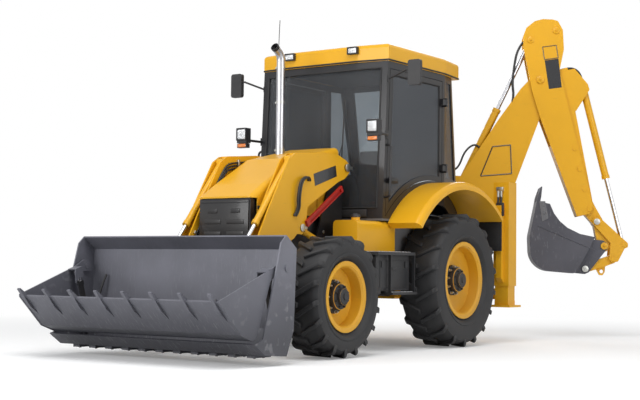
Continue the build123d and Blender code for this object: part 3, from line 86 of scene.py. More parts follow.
# ---- Shader building ---------------------------------------------------------------------
class Term:
    """A value socket that takes part in plain arithmetic."""

    def __init__(self, recipe: "Recipe", socket: bpy.types.NodeSocket) -> None:
        """Keep the recipe that the socket belongs to."""
        self.recipe = recipe
        self.socket = socket

    def _join(self, operation: str, first: Any, second: Any) -> "Term":
        """Return a Math node's result on two values."""
        node = self.recipe.node("ShaderNodeMath", {"operation": operation}, {0: first, 1: second})
        return Term(self.recipe, node.outputs[0])

    def __add__(self, other: Any) -> "Term":
        """Return self + other."""
        return self._join("ADD", self, other)

    __radd__ = __add__

    def __sub__(self, other: Any) -> "Term":
        """Return self - other."""
        return self._join("SUBTRACT", self, other)

    def __rsub__(self, other: Any) -> "Term":
        """Return other - self."""
        return self._join("SUBTRACT", other, self)

    def __mul__(self, other: Any) -> "Term":
        """Return self * other."""
        return self._join("MULTIPLY", self, other)

    __rmul__ = __mul__

    def ramp(self, low: float, high: float) -> "Term":
        """Return the value stretched so that low gives 0 and high gives 1, and kept between."""
        node = self.recipe.node("ShaderNodeMapRange", {"clamp": True},
                                {0: self, 1: low, 2: high, 3: 0.0, 4: 1.0})
        return Term(self.recipe, node.outputs[0])


class Recipe:
    """One material being built from nodes."""

    def __init__(self, name: str) -> None:
        """Start an empty material with an output and an object-space position."""
        self.material = bpy.data.materials.new(name)
        self.material.use_nodes = True
        self.tree = self.material.node_tree
        self.tree.nodes.clear()
        self.output = self.node("ShaderNodeOutputMaterial")
        self.place = self.node("ShaderNodeTexCoord").outputs["Object"]

    def node(self, kind: str, settings: dict[str, Any] | None = None,
             sockets: dict[int | str, Any] | None = None) -> bpy.types.Node:
        """Add a node.

        Args:
            kind: The node's type.
            settings: Its properties, with stops for a ramp's (place, colour) pairs.
            sockets: Values, sockets or terms for its inputs.

        Returns:
            The new node.
        """
        made = self.tree.nodes.new(kind)
        for key, value in (settings or {}).items():
            if key == "stops":
                while len(made.color_ramp.elements) < len(value):
                    made.color_ramp.elements.new(0.5)
                for element, (position, colour) in zip(made.color_ramp.elements, value):
                    element.position = position
                    element.color = (*colour, 1.0)
            else:
                setattr(made, key, value)
        for key, value in (sockets or {}).items():
            if isinstance(value, Term):
                self.tree.links.new(value.socket, made.inputs[key])
            elif isinstance(value, bpy.types.NodeSocket):
                self.tree.links.new(value, made.inputs[key])
            elif isinstance(value, tuple) and len(value) == 3 and made.inputs[key].type == "RGBA":
                made.inputs[key].default_value = (*value, 1.0)
            else:
                made.inputs[key].default_value = value
        return made

    def stretched(self, scale: tuple[float, float, float]) -> bpy.types.NodeSocket:
        """Return the position stretched by a scale along each axis."""
        node = self.node("ShaderNodeMapping", {}, {"Vector": self.place, "Scale": scale})
        return node.outputs[0]

    def noise(self, scale: float, detail: float = 3.0, place: bpy.types.NodeSocket | None = None) -> Term:
        """Return a cloudy value between 0 and 1."""
        node = self.node("ShaderNodeTexNoise", {},
                         {"Vector": place or self.place, "Scale": scale, "Detail": detail})
        return Term(self, node.outputs[0])

    def cells(self, scale: float) -> Term:
        """Return the distance to the nearest of many scattered points."""
        node = self.node("ShaderNodeTexVoronoi", {}, {"Vector": self.place, "Scale": scale})
        return Term(self, node.outputs[0])

    def part_of_place(self, axis: int) -> Term:
        """Return one coordinate of the position."""
        node = self.node("ShaderNodeSeparateXYZ", {}, {0: self.place})
        return Term(self, node.outputs[axis])

    def wave(self, scale: float, axis: str) -> Term:
        """Return even bands across an axis."""
        node = self.node("ShaderNodeTexWave", {"wave_type": "BANDS", "bands_direction": axis},
                         {"Vector": self.place, "Scale": scale, "Distortion": 0.0})
        return Term(self, node.outputs[1])

    def blend(self, share: Term | float, first: Any, second: Any) -> bpy.types.NodeSocket:
        """Return a colour between two colours."""
        node = self.node("ShaderNodeMix", {"data_type": "RGBA"}, {0: share, 6: first, 7: second})
        return node.outputs[2]

    def bump(self, height: Term, distance: float, strength: float = 1.0) -> bpy.types.NodeSocket:
        """Return a normal roughened by a height."""
        node = self.node("ShaderNodeBump", {}, {"Height": height, "Distance": distance, "Strength": strength})
        return node.outputs[0]

    def finish(self, **sockets: Any) -> bpy.types.Material:
        """Close the material with one Principled shader.

        Args:
            sockets: Values or links by the socket's name, with _ for a space.

        Returns:
            The finished material.
        """
        named = {key.replace("_", " "): value for key, value in sockets.items()}
        shader = self.node("ShaderNodeBsdfPrincipled", {}, named)
        self.tree.links.new(shader.outputs[0], self.output.inputs[0])
        return self.material


class Finish(Protocol):
    """Something that can make one material."""

    name: str

    def make(self) -> bpy.types.Material:
        """Return the material."""


@dataclass(frozen=True)
class Paint:
    """Sprayed paint with a fine orange peel, dust low down and small scuffs."""

    name: str
    colour: Colour
    roughness: float = 0.36
    coat: float = 0.10
    dust: float = 0.22
    dust_colour: Colour = (0.30, 0.24, 0.17)
    scuffs: float = 0.25

    def make(self) -> bpy.types.Material:
        """Return the material."""
        recipe = Recipe(self.name)
        cloud = recipe.noise(1.7, 5)
        speck = recipe.noise(26, 6)
        low = 1 - recipe.part_of_place(2).ramp(0.15, 1.5)
        dusty = (low * cloud.ramp(0.35, 0.75) + speck.ramp(0.62, 0.8) * 0.25) * self.dust
        shade = tuple(value * 0.86 for value in self.colour)
        base = recipe.blend(cloud.ramp(0.3, 0.7) * 0.5, self.colour, shade)
        marks = recipe.noise(9, 8, recipe.stretched((1, 1, 7))).ramp(0.66, 0.74) * self.scuffs
        worn = tuple(value * 0.55 + 0.02 for value in self.colour)
        base = recipe.blend(marks, base, worn)
        base = recipe.blend(dusty, base, self.dust_colour)
        peel = recipe.noise(240, 2)
        return recipe.finish(Base_Color=base, Roughness=cloud * 0.12 + (self.roughness - 0.06) + dusty * 0.5,
                             Coat_Weight=self.coat, Coat_Roughness=0.12, Specular_IOR_Level=0.35,
                             Normal=recipe.bump(peel, 0.0004, 0.35))


@dataclass(frozen=True)
class WornSteel:
    """Dark painted plate that digging has scratched and polished along its travel, with painted shade
    darkening it towards the bottom.
    """

    name: str
    colour: Colour
    bare: Colour = (0.42, 0.42, 0.44)
    wear: float = 0.5
    run: tuple[float, float, float] = (2.0, 26.0, 2.0)
    sheen: float = 0.46
    # How far the colour darkens towards the bottom: painted shade on the low faces.
    painted_low_shade: float = 0.0

    def make(self) -> bpy.types.Material:
        """Return the material."""
        recipe = Recipe(self.name)
        cloud = recipe.noise(2.3, 6)
        fine = recipe.noise(5, 8, recipe.stretched(self.run))
        cross = recipe.noise(4, 8, recipe.stretched(tuple(reversed(self.run))))
        grain = recipe.noise(90, 4)
        low = 1 - recipe.part_of_place(2).ramp(0.1, 0.6)
        scratch = ((fine.ramp(0.6, 0.68) + cross.ramp(0.64, 0.7) * 0.6)
                   * (cloud.ramp(0.3, 0.7) * 0.6 + low * 0.4))
        bare = scratch * self.wear
        shade = tuple(value * 0.72 for value in self.colour)
        base = recipe.blend(cloud.ramp(0.3, 0.7), self.colour, shade)
        # Painted shade: the colour darkens towards the bottom and stands in for the shade on the low,
        # downward-facing faces.
        painted_low_shade = 1 - (recipe.part_of_place(2) + cloud * 0.12).ramp(0.25, 0.80)
        base = recipe.blend(painted_low_shade * self.painted_low_shade, base, tuple(value * 0.25 for value in self.colour))
        base = recipe.blend(bare, base, self.bare)
        return recipe.finish(Base_Color=base, Metallic=bare * 0.7 + 0.25,
                             Roughness=self.sheen + grain * 0.16 - bare * 0.14,
                             Normal=recipe.bump(fine * 0.6 + grain, 0.0008, 0.4))


@dataclass(frozen=True)
class TyreRubber:
    """Matt tread rubber with dry dust in its low places."""

    name: str
    colour: Colour = (0.014, 0.014, 0.0155)
    dust: float = 0.12

    def make(self) -> bpy.types.Material:
        """Return the material."""
        recipe = Recipe(self.name)
        cloud = recipe.noise(5, 6)
        grain = recipe.noise(160, 4)
        low = 1 - recipe.part_of_place(2).ramp(0.0, 0.5)
        dusty = (cloud.ramp(0.4, 0.7) * 0.6 + low * 0.4) * self.dust
        base = recipe.blend(dusty, self.colour, (0.13, 0.125, 0.122))
        return recipe.finish(Base_Color=base, Roughness=0.52 + grain * 0.14 + dusty * 0.6,
                             Normal=recipe.bump(grain + cloud * 2, 0.001, 0.5))


@dataclass(frozen=True)
class Casting:
    """Painted cast iron with a sandy skin and oil-dark patches."""

    name: str
    colour: Colour = (0.03, 0.03, 0.032)

    def make(self) -> bpy.types.Material:
        """Return the material."""
        recipe = Recipe(self.name)
        sand = recipe.noise(120, 5)
        cloud = recipe.noise(4, 5)
        base = recipe.blend(cloud.ramp(0.4, 0.7) * 0.4, self.colour, (0.09, 0.075, 0.06))
        return recipe.finish(Base_Color=base, Metallic=0.2, Roughness=0.5 + cloud * 0.2,
                             Normal=recipe.bump(sand, 0.0012, 0.6))


@dataclass(frozen=True)
class Bright:
    """Plated or polished metal with faint grinding lines."""

    name: str
    colour: Colour = (0.75, 0.75, 0.77)
    roughness: float = 0.14
    lines: tuple[float, float, float] = (1.0, 1.0, 30.0)

    def make(self) -> bpy.types.Material:
        """Return the material."""
        recipe = Recipe(self.name)
        ground = recipe.noise(30, 4, recipe.stretched(self.lines))
        smear = recipe.noise(6, 4)
        base = recipe.blend(smear.ramp(0.5, 0.9) * 0.5, self.colour, (0.35, 0.34, 0.33))
        return recipe.finish(Base_Color=base, Metallic=1.0,
                             Roughness=ground * 0.12 + smear * 0.08 + (self.roughness - 0.08),
                             Normal=recipe.bump(ground, 0.0002, 0.3))


@dataclass(frozen=True)
class Moulded:
    """Moulded plastic or rubber with a fine grain."""

    name: str
    colour: Colour = (0.02, 0.02, 0.022)
    roughness: float = 0.5
    grain: float = 0.0006

    def make(self) -> bpy.types.Material:
        """Return the material."""
        recipe = Recipe(self.name)
        pebble = recipe.cells(260)
        cloud = recipe.noise(3, 4)
        base = recipe.blend(cloud.ramp(0.4, 0.8) * 0.35, self.colour, (0.07, 0.065, 0.06))
        return recipe.finish(Base_Color=base, Roughness=self.roughness - 0.06 + cloud * 0.14,
                             Normal=recipe.bump(pebble, self.grain, 0.5))


@dataclass(frozen=True)
class Glazing:
    """Clear glass, faintly tinted and a little dusty."""

    name: str
    tint: Colour = (0.70, 0.73, 0.75)

    def make(self) -> bpy.types.Material:
        """Return the material."""
        recipe = Recipe(self.name)
        film = recipe.noise(1.1, 4).ramp(0.3, 0.8) * 0.10 + 0.08
        clear = recipe.node("ShaderNodeBsdfTransparent", {}, {"Color": self.tint})
        gloss = recipe.node("ShaderNodeBsdfPrincipled", {},
                            {"Base Color": (0.24, 0.245, 0.26), "Roughness": 0.05, "IOR": 1.5})
        edge = recipe.node("ShaderNodeFresnel", {}, {"IOR": 1.45})
        share = Term(recipe, edge.outputs[0]) * 0.9 + film
        mixed = recipe.node("ShaderNodeMixShader", {}, {0: share, 1: clear.outputs[0], 2: gloss.outputs[0]})
        recipe.tree.links.new(mixed.outputs[0], recipe.output.inputs[0])
        return recipe.material


@dataclass(frozen=True)
class Lens:
    """A ribbed lamp lens over a bright reflector."""

    name: str
    colour: Colour = (0.86, 0.88, 0.9)
    ribs: float = 60.0
    metallic: float = 0.5

    def make(self) -> bpy.types.Material:
        """Return the material."""
        recipe = Recipe(self.name)
        bands = recipe.wave(self.ribs, "Y")
        dot = recipe.wave(self.ribs * 0.6, "Z")
        base = recipe.blend(bands * 0.35, self.colour, tuple(value * 0.5 for value in self.colour))
        return recipe.finish(Base_Color=base, Metallic=self.metallic, Roughness=0.12, Coat_Weight=1.0,
                             Coat_Roughness=0.03, Normal=recipe.bump(bands + dot * 0.5, 0.002, 0.6))


@dataclass(frozen=True)
class Woven:
    """Seat cloth with a fine weave."""

    name: str
    colour: Colour = (0.025, 0.025, 0.028)

    def make(self) -> bpy.types.Material:
        """Return the material."""
        recipe = Recipe(self.name)
        weave = recipe.wave(180, "Y") * recipe.wave(180, "Z") + recipe.wave(180, "X") * 0.5
        cloud = recipe.noise(8, 4)
        base = recipe.blend(weave * 0.5, self.colour, (0.07, 0.07, 0.075))
        return recipe.finish(Base_Color=base, Roughness=0.82 + cloud * 0.1, Sheen_Weight=0.3,
                             Normal=recipe.bump(weave, 0.0008, 0.6))


class Coat(Enum):
    """The finishes that the machine wears."""

    YELLOW = Paint("yellow_paint", (0.80, 0.41, 0.010))
    RIM_YELLOW = Paint("rim_yellow_paint", (0.78, 0.39, 0.010), dust=0.25)
    BLACK = Paint("satin_black_paint", (0.014, 0.014, 0.016), 0.38, 0.25, 0.2, scuffs=0.1)
    RED = Paint("safety_red_paint", (0.42, 0.02, 0.015))
    STRIPE = Paint("side_stripe_film", (0.36, 0.022, 0.014), 0.3, 0.6, 0.15, scuffs=0.05)
    DARK_PANEL = Paint("dark_panel_film", (0.018, 0.018, 0.02), 0.26, 0.6, 0.12, scuffs=0.05)
    # The loader bucket's steel carries painted shade that darkens it towards the bottom.
    BUCKET = WornSteel("loader_bucket_steel", (0.185, 0.187, 0.220), sheen=0.38, painted_low_shade=0.80)
    DIGGER = WornSteel("digging_bucket_steel", (0.090, 0.090, 0.108), run=(8.0, 8.0, 2.0))
    EDGE = WornSteel("cutting_edge_steel", (0.17, 0.17, 0.18), wear=0.9)
    TREAD = WornSteel("step_tread_steel", (0.42, 0.42, 0.43), (0.62, 0.62, 0.63), 0.9)
    CASTING = Casting("painted_casting")
    CHROME = Bright("plated_rod")
    STAINLESS = Bright("exhaust_steel", (0.52, 0.52, 0.54), 0.3)
    ZINC = Bright("zinc_fastener", (0.55, 0.55, 0.52), 0.34)
    TYRE = TyreRubber("tyre_rubber")
    RUBBER = Moulded("seal_rubber", (0.012, 0.012, 0.013), 0.6)
    HOSE = Moulded("hose_rubber", (0.014, 0.014, 0.015), 0.45, 0.0004)
    PLASTIC = Moulded("black_plastic", (0.02, 0.02, 0.022), 0.46)
    TRIM = Moulded("grey_cab_trim", (0.14, 0.142, 0.15), 0.62)
    GLASS = Glazing("cab_glazing")
    LENS = Lens("clear_lens")
    AMBER = Lens("amber_lens", (0.85, 0.22, 0.01), 40.0, 0.1)
    RED_LENS = Lens("red_lens", (0.45, 0.01, 0.01), 40.0, 0.1)
    MIRROR = Bright("mirror_glass", (0.85, 0.87, 0.88), 0.09)
    CLOTH = Woven("seat_cloth")


class Wardrobe:
    """Makes each finish once and dresses nodes with it."""

    NODE_COATS: dict[Coat, tuple[str, ...]] = {
        Coat.YELLOW: ("cowl", "fenders", "side_tanks", "rear_frame", "loader_arms", "carriage", "kingpost",
                      "boom", "dipper", "inner_dipper", "tipping_lever", "tipping_link", "bonnet", "cab_roof",
                      "stabiliser_leg_left", "stabiliser_leg_right", "lift_ram_barrel", "tilt_ram_barrel",
                      "boom_ram_barrel", "dipper_ram_barrel", "bucket_ram_barrel"),
        Coat.RIM_YELLOW: ("front_rim_left", "front_rim_right", "rear_rim_left", "rear_rim_right"),
        Coat.BLACK: ("clam_ram_barrel", "grille", "door_left", "door_right", "cab_frame", "chassis_frame"),
        Coat.RED: ("safety_strut",),
        Coat.BUCKET: ("loader_bucket", "clam"),
        Coat.DIGGER: ("digging_bucket",),
        Coat.CASTING: ("axles", "powertrain", "knuckle_left", "knuckle_right"),
        Coat.CHROME: ("lift_ram_rod", "tilt_ram_rod", "clam_ram_rod", "boom_ram_rod", "dipper_ram_rod",
                      "bucket_ram_rod"),
        Coat.STAINLESS: ("exhaust_stack",),
        Coat.GLASS: ("cab_glass", "door_glass_left", "door_glass_right"),
        Coat.PLASTIC: ("controls", "mirrors", "side_steps", "lamps"),
        Coat.TRIM: ("cab_floor",),
        Coat.CLOTH: ("seat",),
    }
    SLOTS: dict[Coat, str] = {
        Coat.YELLOW: "yellow", Coat.RIM_YELLOW: "yellow", Coat.BLACK: "black_paint", Coat.RED: "red_paint",
        Coat.STRIPE: "red_paint", Coat.DARK_PANEL: "black_paint", Coat.BUCKET: "bucket_grey",
        Coat.DIGGER: "bucket_grey", Coat.EDGE: "bucket_grey", Coat.TREAD: "chrome", Coat.CASTING: "cast_iron",
        Coat.CHROME: "chrome", Coat.STAINLESS: "chrome", Coat.ZINC: "chrome", Coat.TYRE: "tyre",
        Coat.RUBBER: "tyre", Coat.HOSE: "tyre", Coat.PLASTIC: "black_plastic", Coat.TRIM: "black_plastic",
        Coat.GLASS: "glass", Coat.LENS: "lamp_plastic", Coat.AMBER: "lamp_plastic",
        Coat.RED_LENS: "lamp_plastic", Coat.MIRROR: "chrome", Coat.CLOTH: "seat_fabric",
    }

    def __init__(self) -> None:
        """Start with no finish made."""
        self._made: dict[Coat, bpy.types.Material] = {}

    def material(self, coat: Coat) -> bpy.types.Material:
        """Return the finish's material, made on first use."""
        if coat not in self._made:
            finish: Finish = coat.value
            self._made[coat] = finish.make()
        return self._made[coat]

    def dress_nodes(self, nodes: dict[str, bpy.types.Object]) -> None:
        """Give every carried-over node its finish."""
        for coat, names in self.NODE_COATS.items():
            for name in names:
                mesh = nodes[name].data
                mesh.materials.clear()
                mesh.materials.append(self.material(coat))

    def dress(self, piece: bpy.types.Object, coat: Coat, body: str) -> bpy.types.Object:
        """Finish a new piece and let it ride on its body."""
        piece.data.materials.append(self.material(coat))
        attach(piece, body)
        LOG.info("piece %s on %s", piece.name, body)
        return piece


# ---- Mesh building -----------------------------------------------------------------------
class Shape:
    """A mesh being built from operators, then closed as one piece."""

    def __init__(self, name: str) -> None:
        """Start an empty mesh."""
        self.name = name
        self.mesh = bmesh.new()

    @staticmethod
    def turn(direction: Vector) -> Matrix:
        """Return the turn that brings +Z to a direction."""
        return direction.normalized().to_track_quat("Z", "Y").to_matrix().to_4x4()

    def bevelled(self, verts: Iterable[bmesh.types.BMVert], width: float, segments: int = 2) -> None:
        """Round every edge among some vertices."""
        picked = set(verts)
        edges = [edge for edge in self.mesh.edges if edge.verts[0] in picked and edge.verts[1] in picked]
        bmesh.ops.bevel(self.mesh, geom=edges, offset=width, segments=segments, profile=0.5,
                        affect="EDGES", material=-1, clamp_overlap=True)

    def slab(self, centre: Sequence[float], size: Sequence[float], round_by: float = 0.0,
             turn: Matrix | None = None, segments: int = 2) -> None:
        """Add a box with rounded edges.

        Args:
            centre: Its middle.
            size: Its full sizes along its own axes.
            round_by: Radius of its edges, 0 for none.
            turn: A rotation about its middle.
            segments: Steps across each rounded edge.
        """
        place = Matrix.Translation(centre) @ (turn or Matrix.Identity(4)) @ Matrix.Diagonal((*size, 1.0))
        made = bmesh.ops.create_cube(self.mesh, size=1.0, matrix=place)
        if round_by:
            self.bevelled(made["verts"], round_by, segments)

    def bar(self, start: Sequence[float], end: Sequence[float], radius: float,
            far_radius: float | None = None, sides: int = 24, round_by: float = 0.0) -> None:
        """Add a round, tapered or many-sided bar between two points."""
        first, last = Vector(start), Vector(end)
        run = last - first
        place = Matrix.Translation((first + last) / 2) @ self.turn(run)
        made = bmesh.ops.create_cone(self.mesh, cap_ends=True, segments=sides, radius1=radius,
                                     radius2=radius if far_radius is None else far_radius, depth=run.length,
                                     matrix=place)
        if round_by:
            ends = [edge for edge in {edge for vert in made["verts"] for edge in vert.link_edges}
                    if len(edge.link_faces) == 2 and any(len(face.verts) > 4 for face in edge.link_faces)]
            bmesh.ops.bevel(self.mesh, geom=ends, offset=round_by, segments=2, profile=0.5, affect="EDGES",
                            material=-1, clamp_overlap=True)

    def bolt(self, foot: Sequence[float], axis: Sequence[float], radius: float, height: float) -> None:
        """Add a washer, a hexagon head and its shank's end."""
        base, out = Vector(foot), Vector(axis).normalized()
        self.bar(base, base + out * height * 0.18, radius * 1.45, sides=20)
        self.bar(base + out * height * 0.18, base + out * height, radius * 1.12, radius * 1.02, sides=6)
        self.bar(base + out * height, base + out * height * 1.3, radius * 0.55, radius * 0.5, sides=12)

    def bolt_ring(self, centre: Sequence[float], axis: Sequence[float], ring: float, count: int,
                  radius: float, height: float, phase: float = 0.0) -> None:
        """Add bolts evenly round a circle."""
        middle, out = Vector(centre), Vector(axis).normalized()
        aside = out.orthogonal().normalized()
        for index in range(count):
            step = Matrix.Rotation(math.tau * (index + phase) / count, 4, out) @ aside
            self.bolt(middle + step * ring, out, radius, height)

    def turned(self, profile: Sequence[tuple[float, float]], centre: Sequence[float], axis: Sequence[float],
               steps: int = 48) -> None:
        """Add a ring or dome spun about an axis.

        Args:
            profile: Points of (radius, distance along the axis); closed when its ends meet.
            centre: The axis's origin.
            axis: The axis's direction.
            steps: Steps round the full turn.
        """
        out = Vector(axis).normalized()
        aside = out.orthogonal().normalized()
        middle = Vector(centre)
        verts = [self.mesh.verts.new(middle + aside * radius + out * height) for radius, height in profile]
        edges = [self.mesh.edges.new(pair) for pair in zip(verts, verts[1:])]
        bmesh.ops.spin(self.mesh, geom=verts + edges, cent=middle, axis=out, angle=math.tau, steps=steps,
                       use_merge=True, use_duplicate=False)
        bmesh.ops.remove_doubles(self.mesh, verts=self.mesh.verts[:], dist=1e-5)

    def panel(self, outline: Sequence[Sequence[float]], push: Sequence[float], round_by: float = 0.0) -> None:
        """Add a plate: a flat outline in space, thickened by a push."""
        verts = [self.mesh.verts.new(point) for point in outline]
        face = self.mesh.faces.new(verts)
        made = bmesh.ops.extrude_face_region(self.mesh, geom=[face])
        moved = [item for item in made["geom"] if isinstance(item, bmesh.types.BMVert)]
        bmesh.ops.translate(self.mesh, verts=moved, vec=Vector(push))
        if round_by:
            self.bevelled(verts + moved, round_by, 1)

    def close(self, smooth: float = 35.0) -> bpy.types.Object:
        """Return the shape as an object, with faces outwards and smooth below an angle in degrees."""
        bmesh.ops.recalc_face_normals(self.mesh, faces=self.mesh.faces[:])
        limit = math.radians(smooth)
        for face in self.mesh.faces:
            face.smooth = True
        for edge in self.mesh.edges:
            edge.smooth = len(edge.link_faces) == 2 and edge.calc_face_angle(0.0) < limit
        data = bpy.data.meshes.new(self.name)
        self.mesh.to_mesh(data)
        self.mesh.free()
        piece = bpy.data.objects.new(self.name, data)
        bpy.context.scene.collection.objects.link(piece)
        return piece


class Pipe:
    """A smooth tube along a few points, made a mesh."""

    def __init__(self, name: str, radius: float) -> None:
        """Start an empty curve with a round section."""
        self.curve = bpy.data.curves.new(name, "CURVE")
        self.curve.dimensions = "3D"
        self.curve.bevel_depth = radius
        self.curve.bevel_resolution = 3
        self.curve.resolution_u = 6
        self.curve.use_fill_caps = True
        self.name = name

    def run(self, points: Sequence[Sequence[float]]) -> "Pipe":
        """Add one run with its control points."""
        spline = self.curve.splines.new("NURBS")
        spline.points.add(len(points) - 1)
        for slot, point in zip(spline.points, points):
            slot.co = (*point, 1.0)
        spline.order_u = 3
        spline.use_endpoint_u = True
        return self

    def close(self) -> bpy.types.Object:
        """Return the tube as a mesh object at the origin."""
        holder = bpy.data.objects.new(self.name + "_route", self.curve)
        bpy.context.scene.collection.objects.link(holder)
        graph = bpy.context.evaluated_depsgraph_get()
        data = bpy.data.meshes.new_from_object(holder.evaluated_get(graph))
        data.name = self.name
        bpy.data.objects.remove(holder)
        for face in data.polygons:
            face.use_smooth = True
        piece = bpy.data.objects.new(self.name, data)
        bpy.context.scene.collection.objects.link(piece)
        return piece


@dataclass(frozen=True)
class HoePlane:
    """The backhoe's own upright plane, stored slewed to the left."""

    axis_x: float = -1.36
    axis_y: float = -0.55
    slew: float = math.radians(60)

    @property
    def across(self) -> Vector:
        """Return the direction across the plane."""
        return Vector((math.sin(self.slew), math.cos(self.slew), 0))

    @property
    def out(self) -> Vector:
        """Return the level direction away from the machine."""
        return Vector((-math.cos(self.slew), math.sin(self.slew), 0))

    def at(self, reach: float, height: float, aside: float = 0.0) -> Vector:
        """Return a point by its reach, its height and its place across."""
        return Vector((self.axis_x, self.axis_y, height)) + self.out * reach + self.across * aside

    def path(self, route: Route, aside: float) -> list[Vector]:
        """Return the points of a route, given as reach and height, at one place across."""
        return [self.at(reach, height, aside) for reach, height in route]


# ---- Sub-assemblies ----------------------------------------------------------------------
@dataclass(frozen=True)
class Tyre:
    """A tyre with slanted lugs, in the place and size of the plain one."""

    name: str
    side: int
    centre_x: float
    centre_y: float
    radius: float
    width: float
    rim_radius: float
    rim_width: float
    lugs: int
    lug_height: float = 0.032
    lug_width: float = 0.046
    lean: float = 0.060
    overlap: float = 0.012
    sink: float = 0.060
    shoulder_drop: float = 0.036
    shoulder_run: float = 0.024

    def place(self, angle: float, radial: float, around: float, along: float) -> Vector:
        """Return a point of the tyre.

        Args:
            angle: The turn about the axle, from straight ahead downwards.
            radial: The distance from the axle.
            around: The distance round the tyre from that angle.
            along: The distance outwards along the axle from the tyre's middle.

        Returns:
            The point in the part's frame.
        """
        return Vector((self.centre_x + radial * math.cos(angle) + around * math.sin(angle),
                       self.side * (self.centre_y + along),
                       self.radius - radial * math.sin(angle) + around * math.cos(angle)))

    def lug(self, shape: Shape, angle: float, hand: int) -> None:
        """Add one lug, reaching outwards (hand 1) or inwards (hand -1) from the tyre's middle."""
        half = self.width / 2
        top = math.sqrt(self.radius ** 2 - (self.lean + self.lug_width / 2) ** 2)
        root = self.radius - self.lug_height - self.sink
        drop = self.radius - self.shoulder_drop
        cut = self.shoulder_run * (top - drop) / self.shoulder_drop
        outline = [(-self.overlap, root), (half, root), (half, drop), (half - cut, top), (-self.overlap, top)]
        points = []
        for along, radial in outline:
            share = (along + self.overlap) / (half + self.overlap)
            around = self.lean * (2 * share - 1) - self.lug_width / 2
            points.append(self.place(angle, radial, around, hand * along))
        push = self.place(angle, root, self.lug_width, 0) - self.place(angle, root, 0, 0)
        shape.panel(points, push, 0.005)

    def build(self, shop: Wardrobe) -> None:
        """Make and dress the tyre."""
        shape = Shape(f"{self.name}_detail")
        half = self.width / 2
        bead = self.rim_width / 2 - 0.018
        carcass = self.radius - self.lug_height
        flank = [(self.rim_radius + 0.0006, bead - 0.008), (self.rim_radius + 0.020, bead),
                 (self.rim_radius + 0.036, bead + 0.001), (self.rim_radius + 0.058, half - 0.024),
                 (self.rim_radius + 0.070, half - 0.006), (self.rim_radius + 0.082, half - 0.001),
                 (self.rim_radius + 0.094, half - 0.001), (self.rim_radius + 0.098, half - 0.006),
                 (self.rim_radius + 0.112, half - 0.004), (carcass - 0.100, half - 0.001),
                 (carcass - 0.060, half - 0.001), (carcass - 0.032, half - 0.007),
                 (carcass - 0.010, half * 0.82), (carcass, half * 0.60), (carcass + 0.002, 0.0)]
        rest = [(radial, -along) for radial, along in reversed(flank[:-1])]
        centre = (self.centre_x, self.centre_y * self.side, self.radius)
        shape.turned(flank + rest + flank[:1], centre, (0, self.side, 0), 96)
        reach = self.lean + self.lug_width / 2
        phase = -math.atan2(reach, math.sqrt(self.radius ** 2 - reach ** 2))
        for index in range(self.lugs):
            angle = phase + math.tau * index / self.lugs
            self.lug(shape, angle, 1)
            self.lug(shape, angle + math.pi / self.lugs, -1)
        tyre = shop.dress(shape.close(40.0), Coat.TYRE, self.name.replace("tyre", "wheel"))
        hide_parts(self.name)


@dataclass(frozen=True)
class Hub:
    """One wheel's nuts, hub cover and valve."""

    name: str
    body: str
    side: int
    centre_x: float
    centre_y: float
    centre_z: float
    rim_radius: float
    rim_width: float
    hub_radius: float
    nuts: int
    dish: float = 0.13
    flange: float = 0.034

    def build(self, shop: Wardrobe) -> None:
        """Make and dress every piece of the hub."""
        out = Vector((0, self.side, 0))
        centre = Vector((self.centre_x, self.centre_y * self.side, self.centre_z))
        disc = self.rim_width / 2 - self.dish
        cover = self.hub_radius + self.flange
        small = self.hub_radius * 0.62
        cap = Shape(f"{self.name}_hub_cap")
        cap.turned([(cover, disc - 0.017), (cover, disc + 0.004), (cover - 0.006, disc + 0.010),
                    (self.hub_radius + 0.005, disc + 0.010), (self.hub_radius + 0.004, disc + 0.060),
                    (self.hub_radius - 0.008, disc + 0.074), (small + 0.004, disc + 0.078),
                    (small + 0.004, disc + 0.106), (small - 0.008, disc + 0.116), (0.030, disc + 0.117),
                    (0.028, disc + 0.126), (0.0, disc + 0.127)], centre, out)
        cap.bolt_ring(centre + out * (disc + 0.072), out, (self.hub_radius + small) / 2, 8,
                      0.0085, 0.018, 0.5)
        shop.dress(cap.close(), Coat.CASTING, self.body)
        nuts = Shape(f"{self.name}_nuts")
        nuts.bolt_ring(centre + out * (disc + 0.009), out, self.hub_radius + 0.019, self.nuts,
                       0.011, 0.026)
        shop.dress(nuts.close(), Coat.ZINC, self.body)
        valve = Shape(f"{self.name}_valve")
        foot = centre + Vector((self.rim_radius - 0.05, 0, 0.02)) + out * (disc - 0.01)
        valve.bar(foot, foot + out * 0.05, 0.006, 0.005)
        valve.bar(foot + out * 0.05, foot + out * 0.066, 0.0085, 0.0075, 8)
        shop.dress(valve.close(), Coat.ZINC, self.body)


